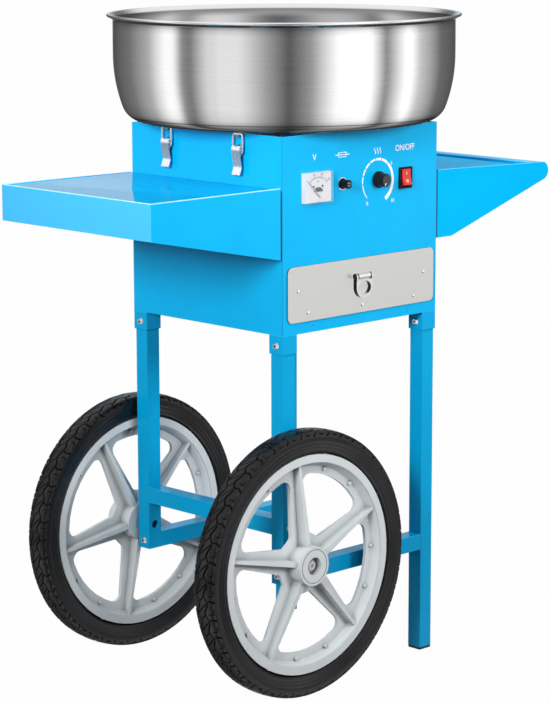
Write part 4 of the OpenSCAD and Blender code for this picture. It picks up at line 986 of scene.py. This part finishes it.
# rivets of the drawer's front, each with a dark disc set to its lower left, a painted shadow
bm = bmesh.new()
rings = bmesh.new()
for x, z in ((-130.7, 584.0), (-110.8, 551.0), (0.0, 550.0), (108.4, 550.6), (129.8, 584.3)):
    lathe(bm, [(2.0, 0), (1.9, 0.6), (1.4, 1.2), (0.7, 1.5), (0, 1.55)], 24, front_matrix(x, z, PLATE_FACE))
    lathe(rings, [(0, 0), (2.0, 0), (2.0, 0.25), (0, 0.25)], 24, front_matrix(x - 1.3, z - 0.4, PLATE_FACE))
add_object("drawer_rivets", from_bmesh(bm, "drawer_rivets", 60), rivet_white, "drawer")
add_object("rivet_shadows", from_bmesh(rings, "rivet_shadows"), shadow_black, "drawer")

# sockets in the bolt heads: thin dark discs, painted shade for the recesses
bm = bmesh.new()
heads = [(x, s * 145.0, 507.0, (-1, 0, 0)) for x in (-162.0, 128.0) for s in (-1, 1)]
heads += [(side * 160.0, s * 145.0, 170.0, (side, 0, 0)) for side in (-1, 1) for s in (-1, 1)]
heads += [(-145.0, s * 160.0, 242.0, (0, s, 0)) for s in (-1, 1)]
for x, y, z, way in heads:
    lathe(bm, [(0, -0.2), (2.0, -0.2), (2.0, 0.03), (0, 0.03)], 6, facing(x, y, z, way))
add_object("bolt_sockets", from_bmesh(bm, "bolt_sockets"), hole_shade, "frame")


# pull: a thick plate with an oval hole, hung by two ears, and a dark disc at the end of its barrel, painted shade for
# the hollow end
PULL_BACK = -164.3
PULL_HALF = 17.0
ROUND_Z = 578.0
HOLE_WIDE, HOLE_HIGH = 12.6, 10.3


def pull_outline(t):
    """Distance from the hole's middle to the plate's edge, a stirrup with a level top."""
    a = 2 * math.pi * t
    c, d = math.cos(a), math.sin(a)
    lift = ROUND_Z - EYE_Z
    low = lift * d + math.sqrt(PULL_HALF ** 2 - (lift * c) ** 2)
    if low * d < lift:
        return low
    return min(PULL_HALF / max(abs(c), 1e-6), (PULL_Z - 5.4 - EYE_Z) / max(d, 1e-6))


def pull_eye(t):
    """Distance from the hole's middle to its edge, an oval."""
    c, d = math.cos(2 * math.pi * t), math.sin(2 * math.pi * t)
    return HOLE_WIDE * HOLE_HIGH / math.hypot(HOLE_HIGH * c, HOLE_WIDE * d)


bm = bmesh.new()
band(bm, front_matrix(PULL_X, EYE_Z, PULL_BACK), 0, 360, pull_outline, pull_eye, 96, 6.6)
for side in (-1, 1):
    x0, x1 = sorted((side * 13.8, side * PULL_HALF))
    ear = [(x0, -6.0), (x1, -6.0), (x1, 0.0), (x0, 0.0)]
    extrude_outline(bm, ear, 7.2, front_matrix(PULL_X, PULL_Z, PULL_BACK))
    barrel = [(0, 0), (4.2, 0), (4.5, 0.3), (4.5, 2.9), (4.2, 3.2), (0, 3.2)]
    lathe(bm, barrel, 32, facing(PULL_X + x0, PULL_Y, PULL_Z, (1, 0, 0)))
ring = from_bmesh(bm, "pull_ring_skin", 35)
pull = add_object("pull_ring_skin", ring, pull_shade_steel, "pull")
add_bevel(pull, 0.7, 2)
pull.visible_shadow = False
pull.visible_glossy = False
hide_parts("pull_ring")
bm = bmesh.new()
lathe(bm, [(0, -0.2), (3.4, -0.2), (3.4, 0.04), (0, 0.04)], 28, facing(PULL_X - PULL_HALF, PULL_Y, PULL_Z, (-1, 0, 0)))
add_object("pull_end", from_bmesh(bm, "pull_end"), hole_shade, "pull")
